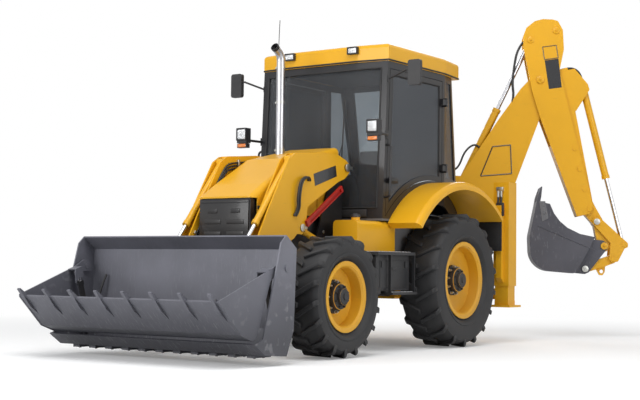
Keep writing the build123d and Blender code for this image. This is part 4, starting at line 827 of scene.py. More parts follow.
@dataclass
class NoseDressing:
    """The bonnet's stripe, catches and vents, the grille's trim and the exhaust's clamps."""

    half_width: float = 0.325
    front_x: float = 2.55
    skirt_z: float = 1.30
    grille_half: float = 0.30
    stack_x: float = 1.457
    stack_y: float = -0.19
    clamp_heights: tuple[float, ...] = (1.97, 2.45, 2.80)
    vent_slots: int = 5
    vent_pitch: float = 0.034
    # Each band's lower and upper edge, above the stripe's base line.
    stripe_bands: Bands = ((0.0, 0.055), (0.085, 0.105))

    def build(self, shop: Wardrobe) -> None:
        """Make and dress every piece of the nose."""
        for side, name in SIDES:
            flank = side * (self.half_width + 0.0004)
            push = (0, side * 0.0016, 0)
            stripe = Shape(f"bonnet_stripe_{name}")
            for low, high in self.stripe_bands:
                corners = ((1.60, 1.635 + low), (2.34, 1.345 + low),
                           (2.36, 1.345 + high), (1.60, 1.642 + high))
                stripe.panel([(x, flank, z) for x, z in corners], push)
            shop.dress(stripe.close(), Coat.STRIPE, "bonnet")
            vent = Shape(f"bonnet_vent_frame_{name}")
            for slot in range(self.vent_slots):
                centre = (2.139 + slot * self.vent_pitch, side * (self.half_width - 0.002),
                          self.skirt_z + 0.1125)
                vent.slab(centre, (0.007, 0.008, 0.150), 0.002)
            shop.dress(vent.close(), Coat.PLASTIC, "bonnet")
            latch = Shape(f"bonnet_latch_{name}")
            latch.slab((2.44, side * (self.half_width + 0.006), 1.345), (0.075, 0.014, 0.032), 0.005)
            latch.bar((2.44, side * self.half_width, 1.345),
                      (2.44, side * (self.half_width + 0.02), 1.345), 0.011)
            shop.dress(latch.close(), Coat.RUBBER, "bonnet")
        brow = Shape("bonnet_brow_seal")
        brow.slab((self.front_x - 0.012, 0, 1.435), (0.012, self.grille_half * 2, 0.010), 0.003)
        shop.dress(brow.close(), Coat.RUBBER, "bonnet")
        face = Shape("grille_face")
        face.slab((self.front_x - 0.004, 0, 1.20), (0.014, self.grille_half * 2 - 0.03, 0.43), 0.006)
        for row, wide in ((1.315, 0.11), (1.215, 0.20), (1.105, 0.20)):
            for side, _ in SIDES:
                face.slab((self.front_x + 0.004, side * 0.135, row), (0.010, wide, 0.042), 0.0045, segments=3)
        face.slab((self.front_x + 0.003, 0, 1.395), (0.008, self.grille_half * 2 - 0.05, 0.016), 0.003)
        shop.dress(face.close(), Coat.BLACK, "chassis")
        clamp = Shape("exhaust_clamps")
        for z in self.clamp_heights:
            clamp.turned([(0.0425, -0.012), (0.046, -0.012), (0.046, 0.012), (0.0425, 0.012)],
                         (self.stack_x, self.stack_y, z), UP)
            clamp.slab((self.stack_x, self.stack_y - 0.054, z), (0.018, 0.022, 0.02), 0.003)
        shop.dress(clamp.close(), Coat.ZINC, "chassis")
        mouth = Shape("exhaust_mouth")
        tip = Vector((self.stack_x + 0.055 + 0.0476, self.stack_y, 2.87 + 0.0953 + 0.0275))
        way = Vector((math.sin(math.radians(60)), 0, math.cos(math.radians(60))))
        mouth.turned([(0.035, -0.02), (0.0435, -0.02), (0.0435, 0.008), (0.035, 0.008)], tip, way)
        shop.dress(mouth.close(), Coat.BLACK, "chassis")


@dataclass
class CabDressing:
    """Seals, wiper, handles, lamps, mirrors, aerial and inside trim of the cab."""

    half_width: float = 0.77
    sill_z: float = 1.29
    top_z: float = 2.86
    front_x: float = 1.075
    flat_half: float = 0.42
    lean: float = 0.078
    # A bezel's bars: place across, place up, width, height.
    roof_bezel: Bars = ((0, 0.034, 0.12, 0.008), (0, -0.034, 0.12, 0.008),
                        (0.056, 0, 0.010, 0.072), (-0.056, 0, 0.010, 0.072))
    head_bezel: Bars = ((0, 0.060, 0.124, 0.012), (0, -0.060, 0.124, 0.012),
                        (0.058, 0, 0.012, 0.128), (-0.058, 0, 0.012, 0.128))

    def front_at(self, height: float) -> float:
        """Return where the windscreen's flat middle stands at a height."""
        return self.front_x - self.lean * (height - self.sill_z) / (self.top_z - self.sill_z)

    def build(self, shop: Wardrobe) -> None:
        """Make and dress every piece of the cab."""
        self.build_screen(shop)
        self.build_doors(shop)
        self.build_roof(shop)
        self.build_lamps(shop)
        self.build_mirrors(shop)
        self.build_inside(shop)

    def build_screen(self, shop: Wardrobe) -> None:
        """Make the windscreen's seal, its wiper and the cover at its foot."""
        seal = Shape("windscreen_seal")
        for z in (1.398, 2.792):
            x = self.front_at(z) + 0.002
            seal.bar((x, -self.flat_half, z), (x, self.flat_half, z), 0.008, sides=10)
            for side, _ in SIDES:
                seal.bar((x, side * self.flat_half, z), (x - 0.025 * 0.8, side * 0.70, z), 0.008, sides=10)
        for side, _ in SIDES:
            low, high = [(self.front_at(z) - 0.018, side * 0.70, z) for z in (1.398, 2.792)]
            seal.bar(low, high, 0.008, sides=10)
        shop.dress(seal.close(), Coat.RUBBER, "chassis")
        wiper = Shape("windscreen_wiper")
        foot = Vector((self.front_at(1.36) + 0.012, 0.10, 1.36))
        elbow = Vector((self.front_at(1.55) + 0.032, 0.16, 1.55))
        head = Vector((self.front_at(2.05) + 0.026, 0.30, 2.05))
        wiper.bar(foot - Vector((0.02, 0, 0)), foot + Vector((0.02, 0, 0)), 0.020)
        wiper.bar(foot + Vector((0.012, 0, 0)), elbow, 0.007, 0.006, 10)
        wiper.bar(elbow, head, 0.006, 0.005, 10)
        wiper.bar(head + Vector((0, -0.012, -0.42)) + Vector((0.018, 0, 0)),
                  head + Vector((-0.014, 0.012, 0.42)), 0.007, 0.007, 6)
        shop.dress(wiper.close(), Coat.RUBBER, "chassis")
        cover = Shape("screen_foot_cover")
        cover.slab((self.front_at(1.345) + 0.004, 0, 1.345), (0.016, 1.2, 0.075), 0.006)
        shop.dress(cover.close(), Coat.PLASTIC, "chassis")

    def build_doors(self, shop: Wardrobe) -> None:
        """Make the doors' handles, seals and grab rails."""
        for side, name in SIDES:
            skin = side * (self.half_width + 0.0225)
            handle = Shape(f"door_handle_{name}")
            handle.slab((0.885, skin + side * 0.006, 1.67), (0.15, 0.014, 0.05), 0.006)
            handle.slab((0.915, skin + side * 0.020, 1.668), (0.13, 0.014, 0.022), 0.006)
            handle.bar((0.835, skin, 1.67), (0.835, skin + side * 0.018, 1.67), 0.014)
            shop.dress(handle.close(), Coat.PLASTIC, f"door_{name}")
            seal = Shape(f"door_seal_{name}")
            inner = side * (self.half_width - 0.010)
            ring = [(0.925, 1.378), (0.862, 2.725), (-0.058, 2.725), (-0.058, 1.72)]
            for first, last in zip(ring, ring[1:]):
                seal.bar((first[0], inner, first[1]), (last[0], inner, last[1]), 0.006, sides=8)
            seal.bar((0.925, inner, 1.378), (0.93, inner, 1.378), 0.006, sides=8)
            shop.dress(seal.close(), Coat.RUBBER, f"door_{name}")
            rail = Pipe(f"grab_rail_{name}", 0.012)
            foot = side * self.half_width
            reach = side * (self.half_width + 0.055)
            rail.run([(1.005, foot, 1.50), (1.008, reach, 1.50), (1.006, reach, 1.56),
                      (0.985, reach, 1.95), (0.980, reach, 2.02), (0.978, foot, 2.02)])
            shop.dress(rail.close(), Coat.BLACK, "chassis")

    def build_roof(self, shop: Wardrobe) -> None:
        """Make the roof's drip rail, its ribs and the aerial."""
        rail = Shape("roof_drip_rail")
        plan = [(1.015, 0.44), (0.968, 0.778), (-0.17, 0.784), (-0.56, 0.72)]
        for side, _ in SIDES:
            points = [Vector((x, side * y, self.top_z + 0.012)) for x, y in plan]
            for first, last in zip(points, points[1:]):
                rail.bar(first, last, 0.009, sides=8)
        rail.bar((1.015, -0.44, self.top_z + 0.012), (1.015, 0.44, self.top_z + 0.012), 0.009, sides=8)
        rail.bar((-0.56, -0.72, self.top_z + 0.012), (-0.56, 0.72, self.top_z + 0.012), 0.009, sides=8)
        shop.dress(rail.close(), Coat.RUBBER, "chassis")
        ribs = Shape("roof_ribs")
        for y in (-0.45, -0.15, 0.15, 0.45):
            ribs.slab((0.18, y, 3.037), (1.05, 0.07, 0.016), 0.007)
        for y in (-0.6, 0.6):
            ribs.slab((-0.30, y, 3.036), (0.1, 0.05, 0.012), 0.005)
        shop.dress(ribs.close(), Coat.YELLOW, "chassis")
        aerial = Pipe("aerial", 0.004)
        aerial.run([(0.93, -0.62, 3.0), (0.925, -0.622, 3.10), (0.91, -0.63, 3.25), (0.885, -0.64, 3.42)])
        shop.dress(aerial.close(), Coat.RUBBER, "chassis")
        foot = Shape("aerial_foot")
        foot.bar((0.93, -0.62, 3.0), (0.93, -0.62, 3.06), 0.018, 0.009, 16)
        shop.dress(foot.close(), Coat.PLASTIC, "chassis")

    def build_lamps(self, shop: Wardrobe) -> None:
        """Make the lenses and bezels of the head, roof, tail and indicator lamps."""
        lens = Shape("lamp_lenses")
        amber = Shape("indicator_lenses")
        red = Shape("tail_lenses")
        bezel = Shape("lamp_bezels")
        for side, _ in SIDES:
            lens.slab((1.0445, side * 0.392, 2.9815), (0.008, 0.096, 0.050), 0.004)
            for dy, dz, wide, tall in self.roof_bezel:
                bezel.slab((1.047, side * 0.392 + dy, 2.9815 + dz), (0.014, wide, tall), 0.003)
            lens.slab((1.305, side * 0.806, 2.175), (0.010, 0.102, 0.102), 0.006)
            for dy, dz, wide, tall in self.head_bezel:
                bezel.slab((1.308, side * 0.806 + dy, 2.175 + dz), (0.018, wide, tall), 0.004)
            amber.slab((1.3015, side * 0.806, 2.0575), (0.010, 0.104, 0.036), 0.004)
            lens.slab((-0.5905, side * 0.46, 2.96), (0.008, 0.096, 0.056), 0.004)
            red.slab((-0.92, side * 1.06, 1.42), (0.030, 0.075, 0.060), 0.008)
            amber.slab((-0.92, side * 1.06, 1.49), (0.030, 0.075, 0.060), 0.008)
            bezel.slab((-0.895, side * 1.06, 1.455), (0.030, 0.090, 0.150), 0.008)
        shop.dress(lens.close(), Coat.LENS, "chassis")
        shop.dress(amber.close(), Coat.AMBER, "chassis")
        shop.dress(red.close(), Coat.RED_LENS, "chassis")
        shop.dress(bezel.close(), Coat.PLASTIC, "chassis")

    def build_mirrors(self, shop: Wardrobe) -> None:
        """Make the mirror glasses, facing the driver."""
        glass = Shape("mirror_glasses")
        for side, x, y in ((1, 0.985, 1.09), (-1, 1.13, 1.01)):
            glass.slab((x - 0.0235, side * y, 2.715), (0.004, 0.118, 0.222), 0.0015)
        shop.dress(glass.close(), Coat.MIRROR, "chassis")

    def build_inside(self, shop: Wardrobe) -> None:
        """Make the dash panel, the pedals and the roof lining."""
        dash = Shape("dash_panel")
        dash.slab((0.878, 0, 1.705), (0.16, 0.50, 0.03), 0.012, tipped(28))
        for y in (-0.15, 0.0, 0.15):
            dash.bar((0.862, y, 1.722), (0.855, y, 1.735), 0.042, 0.038)
        shop.dress(dash.close(), Coat.PLASTIC, "chassis")
        pedals = Shape("pedals")
        for y in (-0.30, -0.20, 0.24):
            pedals.slab((0.735, y, 1.15), (0.02, 0.07, 0.11), 0.006, tipped(-30))
            pedals.bar((0.75, y, 1.17), (0.78, y, 1.30), 0.009)
        shop.dress(pedals.close(), Coat.RUBBER, "chassis")
        lining = Shape("roof_lining")
        lining.slab((0.21, 0, 2.862), (1.34, 1.36, 0.02), 0.008)
        shop.dress(lining.close(), Coat.TRIM, "chassis")


@dataclass
class LoaderDressing:
    """Pins, hoses, pipes and bucket fastenings of the loader."""

    arm_inner: float = 0.352
    arm_outer: float = 0.462
    hose_side: float = 0.50
    bolt_pitch: float = 0.2
    blade_bolts: int = 11
    tooth_count: int = 8
    tooth_pitch: float = 0.307
    # Along the arm: forward and up. Down the clam's ram: forward, outwards and up.
    pipe_route: Route = ((1.30, 1.79), (1.42, 1.83), (1.66, 1.84), (2.02, 1.81),
                         (2.14, 1.76), (2.40, 1.33), (2.62, 0.95))
    clam_hose_route: Route = ((3.075, 0.96, 0.72), (3.11, 0.965, 0.66), (3.135, 1.0, 0.50),
                              (3.148, 1.016, 0.36), (3.160, 1.024, 0.255))

    def build(self, shop: Wardrobe) -> None:
        """Make and dress every piece of the loader."""
        pins = Shape("loader_pin_caps")
        for side, _ in SIDES:
            for x, z, radius in ((1.234, 1.785, 0.040), (1.962, 1.174, 0.036)):
                foot = side * (self.arm_outer + (0.014 if z > 1.7 else 0.001))
                pins.bar((x, foot, z), (x, foot + side * 0.012, z), radius, sides=32, round_by=0.003)
                pins.slab((x - radius - 0.012, foot + side * 0.006, z), (0.05, 0.010, 0.03), 0.003)
        shop.dress(pins.close(), Coat.ZINC, "loader_arms")
        for side, name in SIDES:
            pipes = Pipe(f"arm_pipes_{name}", 0.009)
            inner = side * (self.arm_inner - 0.009)
            for drop in (0.0, 0.028, 0.056):
                pipes.run([(x, inner, z - drop) for x, z in self.pipe_route])
            shop.dress(pipes.close(), Coat.BLACK, "loader_arms")
            clips = Shape(f"arm_pipe_clips_{name}")
            for x, z, turn in ((1.55, 1.812, 0), (1.92, 1.795, -5), (2.28, 1.50, -58), (2.52, 1.10, -58)):
                clips.slab((x, inner, z), (0.03, 0.022, 0.10), 0.004, tipped(-turn))
            shop.dress(clips.close(), Coat.ZINC, "loader_arms")
            panel = Shape(f"arm_side_panel_{name}")
            skin = side * (self.arm_outer + 0.0004)
            corners = ((1.79, 1.690), (1.42, 1.795), (1.40, 1.690), (1.765, 1.575))
            panel.panel([(x, skin, z) for x, z in corners], (0, side * 0.0016, 0), 0.0006)
            shop.dress(panel.close(), Coat.DARK_PANEL, "loader_arms")
            hose = Pipe(f"arm_hoses_{name}", 0.011)
            for shift in (0.0, 0.03):
                hose.run([(1.86 + shift, side * 0.475, 1.62), (1.90 + shift, side * self.hose_side, 1.66),
                          (2.02 + shift, side * self.hose_side, 1.62),
                          (2.06 + shift, side * self.hose_side, 1.45),
                          (2.04 + shift, side * 0.49, 1.34), (2.08 + shift, side * 0.475, 1.28)])
            shop.dress(hose.close(), Coat.HOSE, "loader_arms")
        bolts = Shape("blade_edge_bolts")
        for step in range(self.blade_bolts):
            y = (step - (self.blade_bolts - 1) / 2) * self.bolt_pitch
            for x in (3.23, 3.35):
                bolts.bar((x, y, 0.068), (x, y, 0.058), 0.014, 0.011, 12)
        shop.dress(bolts.close(), Coat.EDGE, "loader_bucket")
        teeth = Shape("tooth_fastenings")
        for tooth in range(self.tooth_count):
            y = (tooth - (self.tooth_count - 1) / 2) * self.tooth_pitch
            run = Vector((0.707, 0, 0.707))
            across = Vector((-0.707, 0, 0.707))
            shank = Vector((3.865, y, 0.448)) + across * 0.014
            teeth.slab(shank, (0.15, 0.062, 0.020), 0.006, tipped(-45))
            for along in (-0.04, 0.03):
                teeth.bolt(shank + run * along + across * 0.010, across, 0.011, 0.014)
        shop.dress(teeth.close(), Coat.EDGE, "clam")
        for side, name in SIDES:
            ram = Pipe(f"clam_hoses_{name}", 0.010)
            ram.run([(x, side * y, z) for x, y, z in self.clam_hose_route])
            shop.dress(ram.close(), Coat.HOSE, "loader_bucket")


@dataclass
class HoeDressing:
    """Pins, hoses, pipes, plain panels and bucket fittings of the backhoe."""

    plane: HoePlane
    boom_half: float = 0.088
    dipper_half: float = 0.125
    # Routes in the backhoe's plane: reach and height.
    boom_pipe_route: Route = ((0.86, 1.60), (0.84, 1.67), (0.93, 1.83), (1.32, 2.57),
                              (1.53, 2.93), (1.60, 3.04), (1.63, 3.07))
    head_hose_route: Route = ((1.36, 2.78), (1.38, 2.86), (1.36, 3.00), (1.38, 3.20),
                              (1.42, 3.42), (1.49, 3.50))
    back_hose_route: Route = ((1.90, 3.16), (2.02, 3.20), (2.13, 3.17), (2.19, 3.05),
                              (2.16, 2.90), (2.10, 2.78))
    ram_hose_route: Route = ((0.98, 2.24), (0.93, 2.30), (0.80, 2.20), (0.74, 2.02),
                             (0.66, 1.96), (0.60, 1.88))
    king_hose_route: Route = ((0.02, 0.78), (0.10, 0.82), (0.16, 0.95), (0.20, 1.02), (0.19, 1.08))

    def build(self, shop: Wardrobe) -> None:
        """Make and dress every piece of the backhoe."""
        self.build_pins(shop)
        self.build_panels(shop)
        self.build_hoses(shop)
        self.build_bucket(shop)

    def build_pins(self, shop: Wardrobe) -> None:
        """Make the pin caps and their bolts."""
        caps = (
            ("boom_head_caps", "dipper", 1.682, 3.041, self.dipper_half + 0.008, 0.044),
            ("boom_ram_caps", "boom", 0.620, 1.840, self.boom_half, 0.040),
            ("dipper_ram_base_caps", "boom", 0.750, 1.790, self.boom_half, 0.036),
            ("dipper_ram_eye_caps", "dipper", 1.570, 3.516, self.dipper_half, 0.040),
            ("dipper_head_caps", "dipper", 1.870, 3.625, self.dipper_half, 0.040),
            ("boom_foot_caps", "kingpost", 0.280, 0.800, 0.126, 0.044),
            ("lever_pin_caps", "inner_dipper", 2.342, 1.369, 0.126, 0.036),
            ("bucket_pin_caps", "digging_bucket", 2.429, 1.086, 0.106, 0.042),
            ("link_pin_caps", "digging_bucket", 2.209, 0.816, 0.106, 0.038),
        )
        for name, body, reach, height, foot, radius in caps:
            cap = Shape(name)
            for end in (1, -1):
                start = self.plane.at(reach, height, end * foot)
                finish = self.plane.at(reach, height, end * (foot + 0.012))
                cap.bar(start, finish, radius, sides=32, round_by=0.003)
                cap.bolt(finish, self.plane.across * end, 0.011, 0.014)
            shop.dress(cap.close(), Coat.ZINC if "lever" in name or "link" in name else Coat.YELLOW, body)

    def build_panels(self, shop: Wardrobe) -> None:
        """Make the plain dark panels on the boom and dipper."""
        frame = Shape("boom_side_frames")
        corners = [(0.99, 1.90), (1.13, 2.25), (1.34, 2.27), (1.355, 1.93)]
        for end in (1, -1):
            skin = end * (self.boom_half + 0.001)
            points = [self.plane.at(x, z, skin) for x, z in corners]
            for first, last in zip(points, points[1:] + points[:1]):
                frame.bar(first, last, 0.007, sides=8)
        shop.dress(frame.close(), Coat.DARK_PANEL, "boom")
        plate = Shape("dipper_side_panels")
        for end in (1, -1):
            corners = [(1.735, 3.27), (1.895, 3.29), (1.935, 2.95), (1.785, 2.93)]
            plate.panel([self.plane.at(x, z, end * (self.dipper_half + 0.0004)) for x, z in corners],
                        self.plane.across * end * 0.0016, 0.0006)
            corners = [(1.71, 3.43), (1.87, 3.45), (1.893, 3.30), (1.733, 3.28)]
            points = [self.plane.at(x, z, end * (self.dipper_half + 0.001)) for x, z in corners]
            for first, last in zip(points, points[1:] + points[:1]):
                plate.bar(first, last, 0.005, sides=8)
        shop.dress(plate.close(), Coat.DARK_PANEL, "dipper")

    def build_hoses(self, shop: Wardrobe) -> None:
        """Make the hoses and pipes that lie on the boom, the dipper and the kingpost."""
        pipes = Pipe("boom_pipes", 0.010)
        for aside in (-0.060, -0.030, 0.030, 0.060):
            pipes.run(self.plane.path(self.boom_pipe_route, aside))
        shop.dress(pipes.close(), Coat.BLACK, "boom")
        clips = Shape("boom_pipe_clips")
        for reach, height in ((0.97, 1.905), (1.18, 2.305), (1.42, 2.745)):
            tilt = math.atan2(0.76, 0.405)
            clips.slab(self.plane.at(reach - 0.012, height + 0.008), (0.03, 0.15, 0.03), 0.004,
                       Matrix.Rotation(math.pi - self.plane.slew, 4, "Z") @ Matrix.Rotation(-tilt, 4, "Y"))
        shop.dress(clips.close(), Coat.ZINC, "boom")
        loops = Pipe("boom_head_hoses", 0.014)
        for aside in (0.040, 0.075):
            loops.run(self.plane.path(self.head_hose_route, aside))
        shop.dress(loops.close(), Coat.HOSE, "boom")
        loops = Pipe("dipper_back_hoses", 0.013)
        for aside in (-0.03, 0.03):
            loops.run(self.plane.path(self.back_hose_route, aside))
        shop.dress(loops.close(), Coat.HOSE, "inner_dipper")
        feed = Pipe("boom_ram_hoses", 0.012)
        feed.run(self.plane.path(self.ram_hose_route, 0.05))
        shop.dress(feed.close(), Coat.HOSE, "boom")
        hoses = Pipe("kingpost_hoses", 0.011)
        for aside in (-0.081, 0.081):
            hoses.run(self.plane.path(self.king_hose_route, aside))
        shop.dress(hoses.close(), Coat.HOSE, "kingpost")

    def build_bucket(self, shop: Wardrobe) -> None:
        """Make the digging bucket's side cutters and seams."""
        cutter = Shape("bucket_side_cutters")
        for end in (1, -1):
            corners = [(1.665, 1.60), (1.735, 1.60), (1.775, 1.40), (1.70, 1.36)]
            cutter.panel([self.plane.at(x, z, end * 0.2284) for x, z in corners],
                         self.plane.across * end * 0.005, 0.001)
            for reach, height in ((1.715, 1.55), (1.728, 1.46)):
                cutter.bolt(self.plane.at(reach, height, end * 0.2334), self.plane.across * end, 0.013, 0.005)
        shop.dress(cutter.close(), Coat.EDGE, "digging_bucket")
        seam = Shape("bucket_side_seams")
        for end in (1, -1):
            seam.bar(self.plane.at(1.651, 1.311, end * 0.229), self.plane.at(2.30, 1.035, end * 0.229),
                     0.005, sides=8)
        shop.dress(seam.close(), Coat.DIGGER, "digging_bucket")


@dataclass
class UndersideDressing:
    """Step treads, tank caps, box doors, frame bolts, stabiliser hoses and fender flaps."""

    # A step's tread: rear and front end, inner and outer side, height.
    steps: Route = ((0.80, 1.48, 0.785, 0.99, 0.960), (0.79, 1.25, 0.81, 1.01, 0.574))
    tread_pitch: float = 0.06
    # Bolt places: forward and up.
    rear_bolts: Route = ((-1.12, 0.62), (-1.12, 0.90), (-0.93, 0.84), (-0.93, 0.92), (-1.14, 1.10))
    upright_bolts: Route = ((1.20, 1.70), (1.32, 1.45), (1.45, 1.15), (1.25, 1.05))
    # A stabiliser's hose: forward, outwards and up.
    hose_route: Route = ((-0.915, 1.03, 1.60), (-0.90, 1.03, 1.50), (-0.89, 1.02, 1.40),
                         (-0.90, 0.90, 1.27), (-0.95, 0.78, 1.22), (-1.0, 0.70, 1.18))

    def build(self, shop: Wardrobe) -> None:
        """Make and dress every piece of the lower body."""
        treads = Shape("step_treads")
        for side, _ in SIDES:
            for x0, x1, y0, y1, z in self.steps:
                count = int((x1 - x0 - 0.04) / self.tread_pitch)
                for step in range(count):
                    x = x0 + 0.05 + step * self.tread_pitch
                    for row in range(3):
                        y = y0 + 0.035 + row * (y1 - y0 - 0.07) / 2
                        treads.bar((x, side * y, z - 0.001), (x, side * y, z + 0.006), 0.018, 0.013, 10)
        shop.dress(treads.close(), Coat.TREAD, "chassis")
        caps = Shape("tank_caps")
        for side, _ in SIDES:
            caps.bar((1.36, side * 0.66, 1.292), (1.36, side * 0.66, 1.318), 0.050, 0.044, 20, 0.004)
            caps.slab((1.36, side * 0.66, 1.322), (0.084, 0.018, 0.016), 0.005)
        shop.dress(caps.close(), Coat.PLASTIC, "chassis")
        plates = Shape("side_box_doors")
        for side, _ in SIDES:
            plates.slab((1.125, side * 0.951, 0.745), (0.50, 0.006, 0.27), 0.003)
            plates.slab((1.125, side * 0.956, 0.80), (0.09, 0.012, 0.03), 0.004)
        shop.dress(plates.close(), Coat.PLASTIC, "chassis")
        bolts = Shape("frame_bolts")
        for side, _ in SIDES:
            for x, z in self.rear_bolts:
                bolts.bolt((x, side * 0.369, z), (0, side, 0), 0.015, 0.020)
            for x, z in self.upright_bolts:
                bolts.bolt((x, side * 0.350, z), (0, side, 0), 0.012, 0.006)
        shop.dress(bolts.close(), Coat.ZINC, "chassis")
        leg = Pipe("stabiliser_hoses", 0.012)
        fit = Shape("stabiliser_fittings")
        for side, _ in SIDES:
            for shift in (0.0, 0.035):
                leg.run([(x, side * (y + shift), z) for x, y, z in self.hose_route])
                fit.bar((-0.917, side * (1.03 + shift), 1.66), (-0.915, side * (1.03 + shift), 1.59),
                        0.014, sides=6)
            fit.slab((-0.922, side * 1.0475, 1.68), (0.030, 0.085, 0.045), 0.005)
        shop.dress(leg.close(), Coat.HOSE, "chassis")
        shop.dress(fit.close(), Coat.ZINC, "chassis")
        flaps = Shape("fender_flaps")
        for side, _ in SIDES:
            flaps.slab((-0.838, side * 0.93, 1.18), (0.012, 0.36, 0.36), 0.004)
        shop.dress(flaps.close(), Coat.RUBBER, "chassis")


# ---- Studio ------------------------------------------------------------------------------
@dataclass(frozen=True)
class Lamp:
    """One soft studio lamp, aimed at the machine."""

    name: str
    place: tuple[float, float, float]
    target: tuple[float, float, float]
    size: float
    watts: float

    def build(self) -> None:
        """Add the lamp to the scene."""
        data = bpy.data.lights.new(self.name, "AREA")
        data.shape = "DISK"
        data.size = self.size
        data.energy = self.watts
        lamp = bpy.data.objects.new(self.name, data)
        lamp.location = self.place
        lamp.rotation_mode = "QUATERNION"
        lamp.rotation_quaternion = (Vector(self.target) - Vector(self.place)).to_track_quat("-Z", "Y")
        bpy.context.scene.collection.objects.link(lamp)


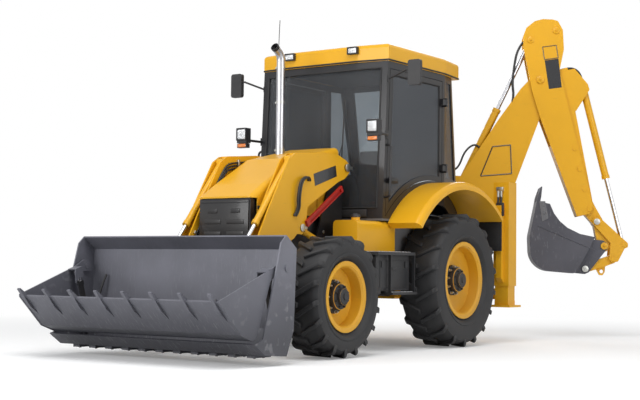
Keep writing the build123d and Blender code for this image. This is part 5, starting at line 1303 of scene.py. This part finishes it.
@dataclass(frozen=True)
class Studio:
    """The floor, the sky, the lamps and the camera."""

    ambient: float = 0.42
    gloss_share: float = 0.75
    floor_size: float = 120.0
    floor_glow: float = 0.16
    fade_from: float = 4.0
    fade_to: float = 8.0
    camera_at: tuple[float, float, float] = (11.5266, 7.3863, 0.8275)
    yaw: float = -2.5288
    pitch: float = 0.0514
    roll: float = 0.0108
    lens_mm: float = 71.096

    def build(self) -> None:
        """Set the stage."""
        self.build_floor()
        self.build_sky()
        middle = (1.0, 0.0, 1.2)
        for lamp in (Lamp("key_lamp", (5.5, 3.0, 9.0), middle, 7.0, 470.0),
                     Lamp("front_lamp", (12.0, -2.0, 3.5), middle, 5.0, 400.0),
                     Lamp("side_lamp", (3.0, 12.0, 4.0), middle, 6.0, 300.0),
                     Lamp("back_lamp", (-9.0, -5.0, 6.0), middle, 5.0, 320.0)):
            lamp.build()
        self.build_camera()

    def build_floor(self) -> None:
        """Lay the pale floor."""
        shape = Shape("studio_floor")
        bmesh.ops.create_grid(shape.mesh, x_segments=1, y_segments=1, size=self.floor_size)
        floor = shape.close()
        recipe = Recipe("pale_floor")
        cloud = recipe.noise(0.4, 2)
        base = recipe.blend(cloud * 0.3, (0.93, 0.93, 0.93), (0.90, 0.90, 0.905))
        matt = recipe.node("ShaderNodeBsdfDiffuse", {}, {"Color": base})
        glow = recipe.node("ShaderNodeEmission", {}, {"Color": (1.0, 1.0, 1.0), "Strength": self.floor_glow})
        both = recipe.node("ShaderNodeAddShader", {}, {0: matt.outputs[0], 1: glow.outputs[0]})
        white = recipe.node("ShaderNodeEmission", {}, {"Color": (1.0, 1.0, 1.0), "Strength": 1.0})
        reach = recipe.node("ShaderNodeVectorMath", {"operation": "LENGTH"}, {0: recipe.place})
        far = Term(recipe, reach.outputs["Value"]).ramp(self.fade_from, self.fade_to)
        faded = recipe.node("ShaderNodeMixShader", {}, {0: far, 1: both.outputs[0], 2: white.outputs[0]})
        path = recipe.node("ShaderNodeLightPath")
        seen = recipe.node("ShaderNodeMixShader", {}, {0: path.outputs["Is Camera Ray"], 1: matt.outputs[0],
                                                       2: faded.outputs[0]})
        recipe.tree.links.new(seen.outputs[0], recipe.output.inputs[0])
        floor.data.materials.append(recipe.material)

    def build_sky(self) -> None:
        """Light evenly, and show white behind the machine."""
        world = bpy.data.worlds.new("studio_sky")
        world.use_nodes = True
        tree = world.node_tree
        tree.nodes.clear()
        out = tree.nodes.new("ShaderNodeOutputWorld")
        path = tree.nodes.new("ShaderNodeLightPath")
        dim = tree.nodes.new("ShaderNodeBackground")
        dim.inputs[0].default_value = (0.96, 0.98, 1.0, 1.0)
        dim.inputs[1].default_value = self.ambient
        white = tree.nodes.new("ShaderNodeBackground")
        white.inputs[0].default_value = (1.0, 1.0, 1.0, 1.0)
        white.inputs[1].default_value = 1.0
        shown = tree.nodes.new("ShaderNodeMath")
        shown.operation = "MAXIMUM"
        tree.links.new(path.outputs["Is Camera Ray"], shown.inputs[0])
        tree.links.new(path.outputs["Is Transmission Ray"], shown.inputs[1])
        gloss = tree.nodes.new("ShaderNodeMath")
        gloss.operation = "MULTIPLY_ADD"
        tree.links.new(path.outputs["Is Glossy Ray"], gloss.inputs[0])
        gloss.inputs[1].default_value = self.gloss_share
        tree.links.new(shown.outputs[0], gloss.inputs[2])
        mixed = tree.nodes.new("ShaderNodeMixShader")
        tree.links.new(gloss.outputs[0], mixed.inputs[0])
        tree.links.new(dim.outputs[0], mixed.inputs[1])
        tree.links.new(white.outputs[0], mixed.inputs[2])
        tree.links.new(mixed.outputs[0], out.inputs[0])
        bpy.context.scene.world = world

    def build_camera(self) -> None:
        """Place the camera low, in front of the machine's left corner."""
        ahead = Vector((math.cos(self.yaw) * math.cos(self.pitch), math.sin(self.yaw) * math.cos(self.pitch),
                        math.sin(self.pitch)))
        right = Vector((math.sin(self.yaw), -math.cos(self.yaw), 0))
        above = right.cross(ahead)
        turned = right * math.cos(self.roll) + above * math.sin(self.roll)
        upward = above * math.cos(self.roll) - right * math.sin(self.roll)
        data = bpy.data.cameras.new("camera")
        data.lens = self.lens_mm
        data.sensor_width = 36.0
        data.clip_end = 400.0
        camera = bpy.data.objects.new("camera", data)
        camera.matrix_world = Matrix((
            (turned.x, upward.x, -ahead.x, self.camera_at[0]),
            (turned.y, upward.y, -ahead.y, self.camera_at[1]),
            (turned.z, upward.z, -ahead.z, self.camera_at[2]),
            (0, 0, 0, 1)))
        bpy.context.scene.collection.objects.link(camera)
        bpy.context.scene.camera = camera


def wheels() -> list[Tyre | Hub]:
    """Return the pieces of the four wheels."""
    made: list[Tyre | Hub] = []
    for side, name in SIDES:
        made.append(Tyre(f"rear_tyre_{name}", side, 0.0, 0.925, 0.687, 0.430, 0.369, 0.366, 18))
        made.append(Tyre(f"front_tyre_{name}", side, 2.17, 0.938, 0.547, 0.405, 0.293, 0.340, 18))
        made.append(Hub(f"rear_{name}", f"rear_wheel_{name}", side, 0.0, 0.925, 0.687, 0.369, 0.366,
                        0.122, 10))
        made.append(Hub(f"front_{name}", f"front_wheel_{name}", side, 2.17, 0.938, 0.547, 0.293, 0.340,
                        0.118, 8))
    return made


def main() -> None:
    """Load the frame, dress it and set the stage."""
    logging.basicConfig(level=logging.INFO, format="%(message)s")
    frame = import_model()
    bpy.context.scene.view_settings.view_transform = "Standard"
    shop = Wardrobe()
    shop.dress_nodes(frame["nodes"])
    Studio().build()
    for wheel in wheels():
        wheel.build(shop)
    NoseDressing().build(shop)
    CabDressing().build(shop)
    LoaderDressing().build(shop)
    HoeDressing(HoePlane()).build(shop)
    UndersideDressing().build(shop)


if __name__ == "__main__":
    main()
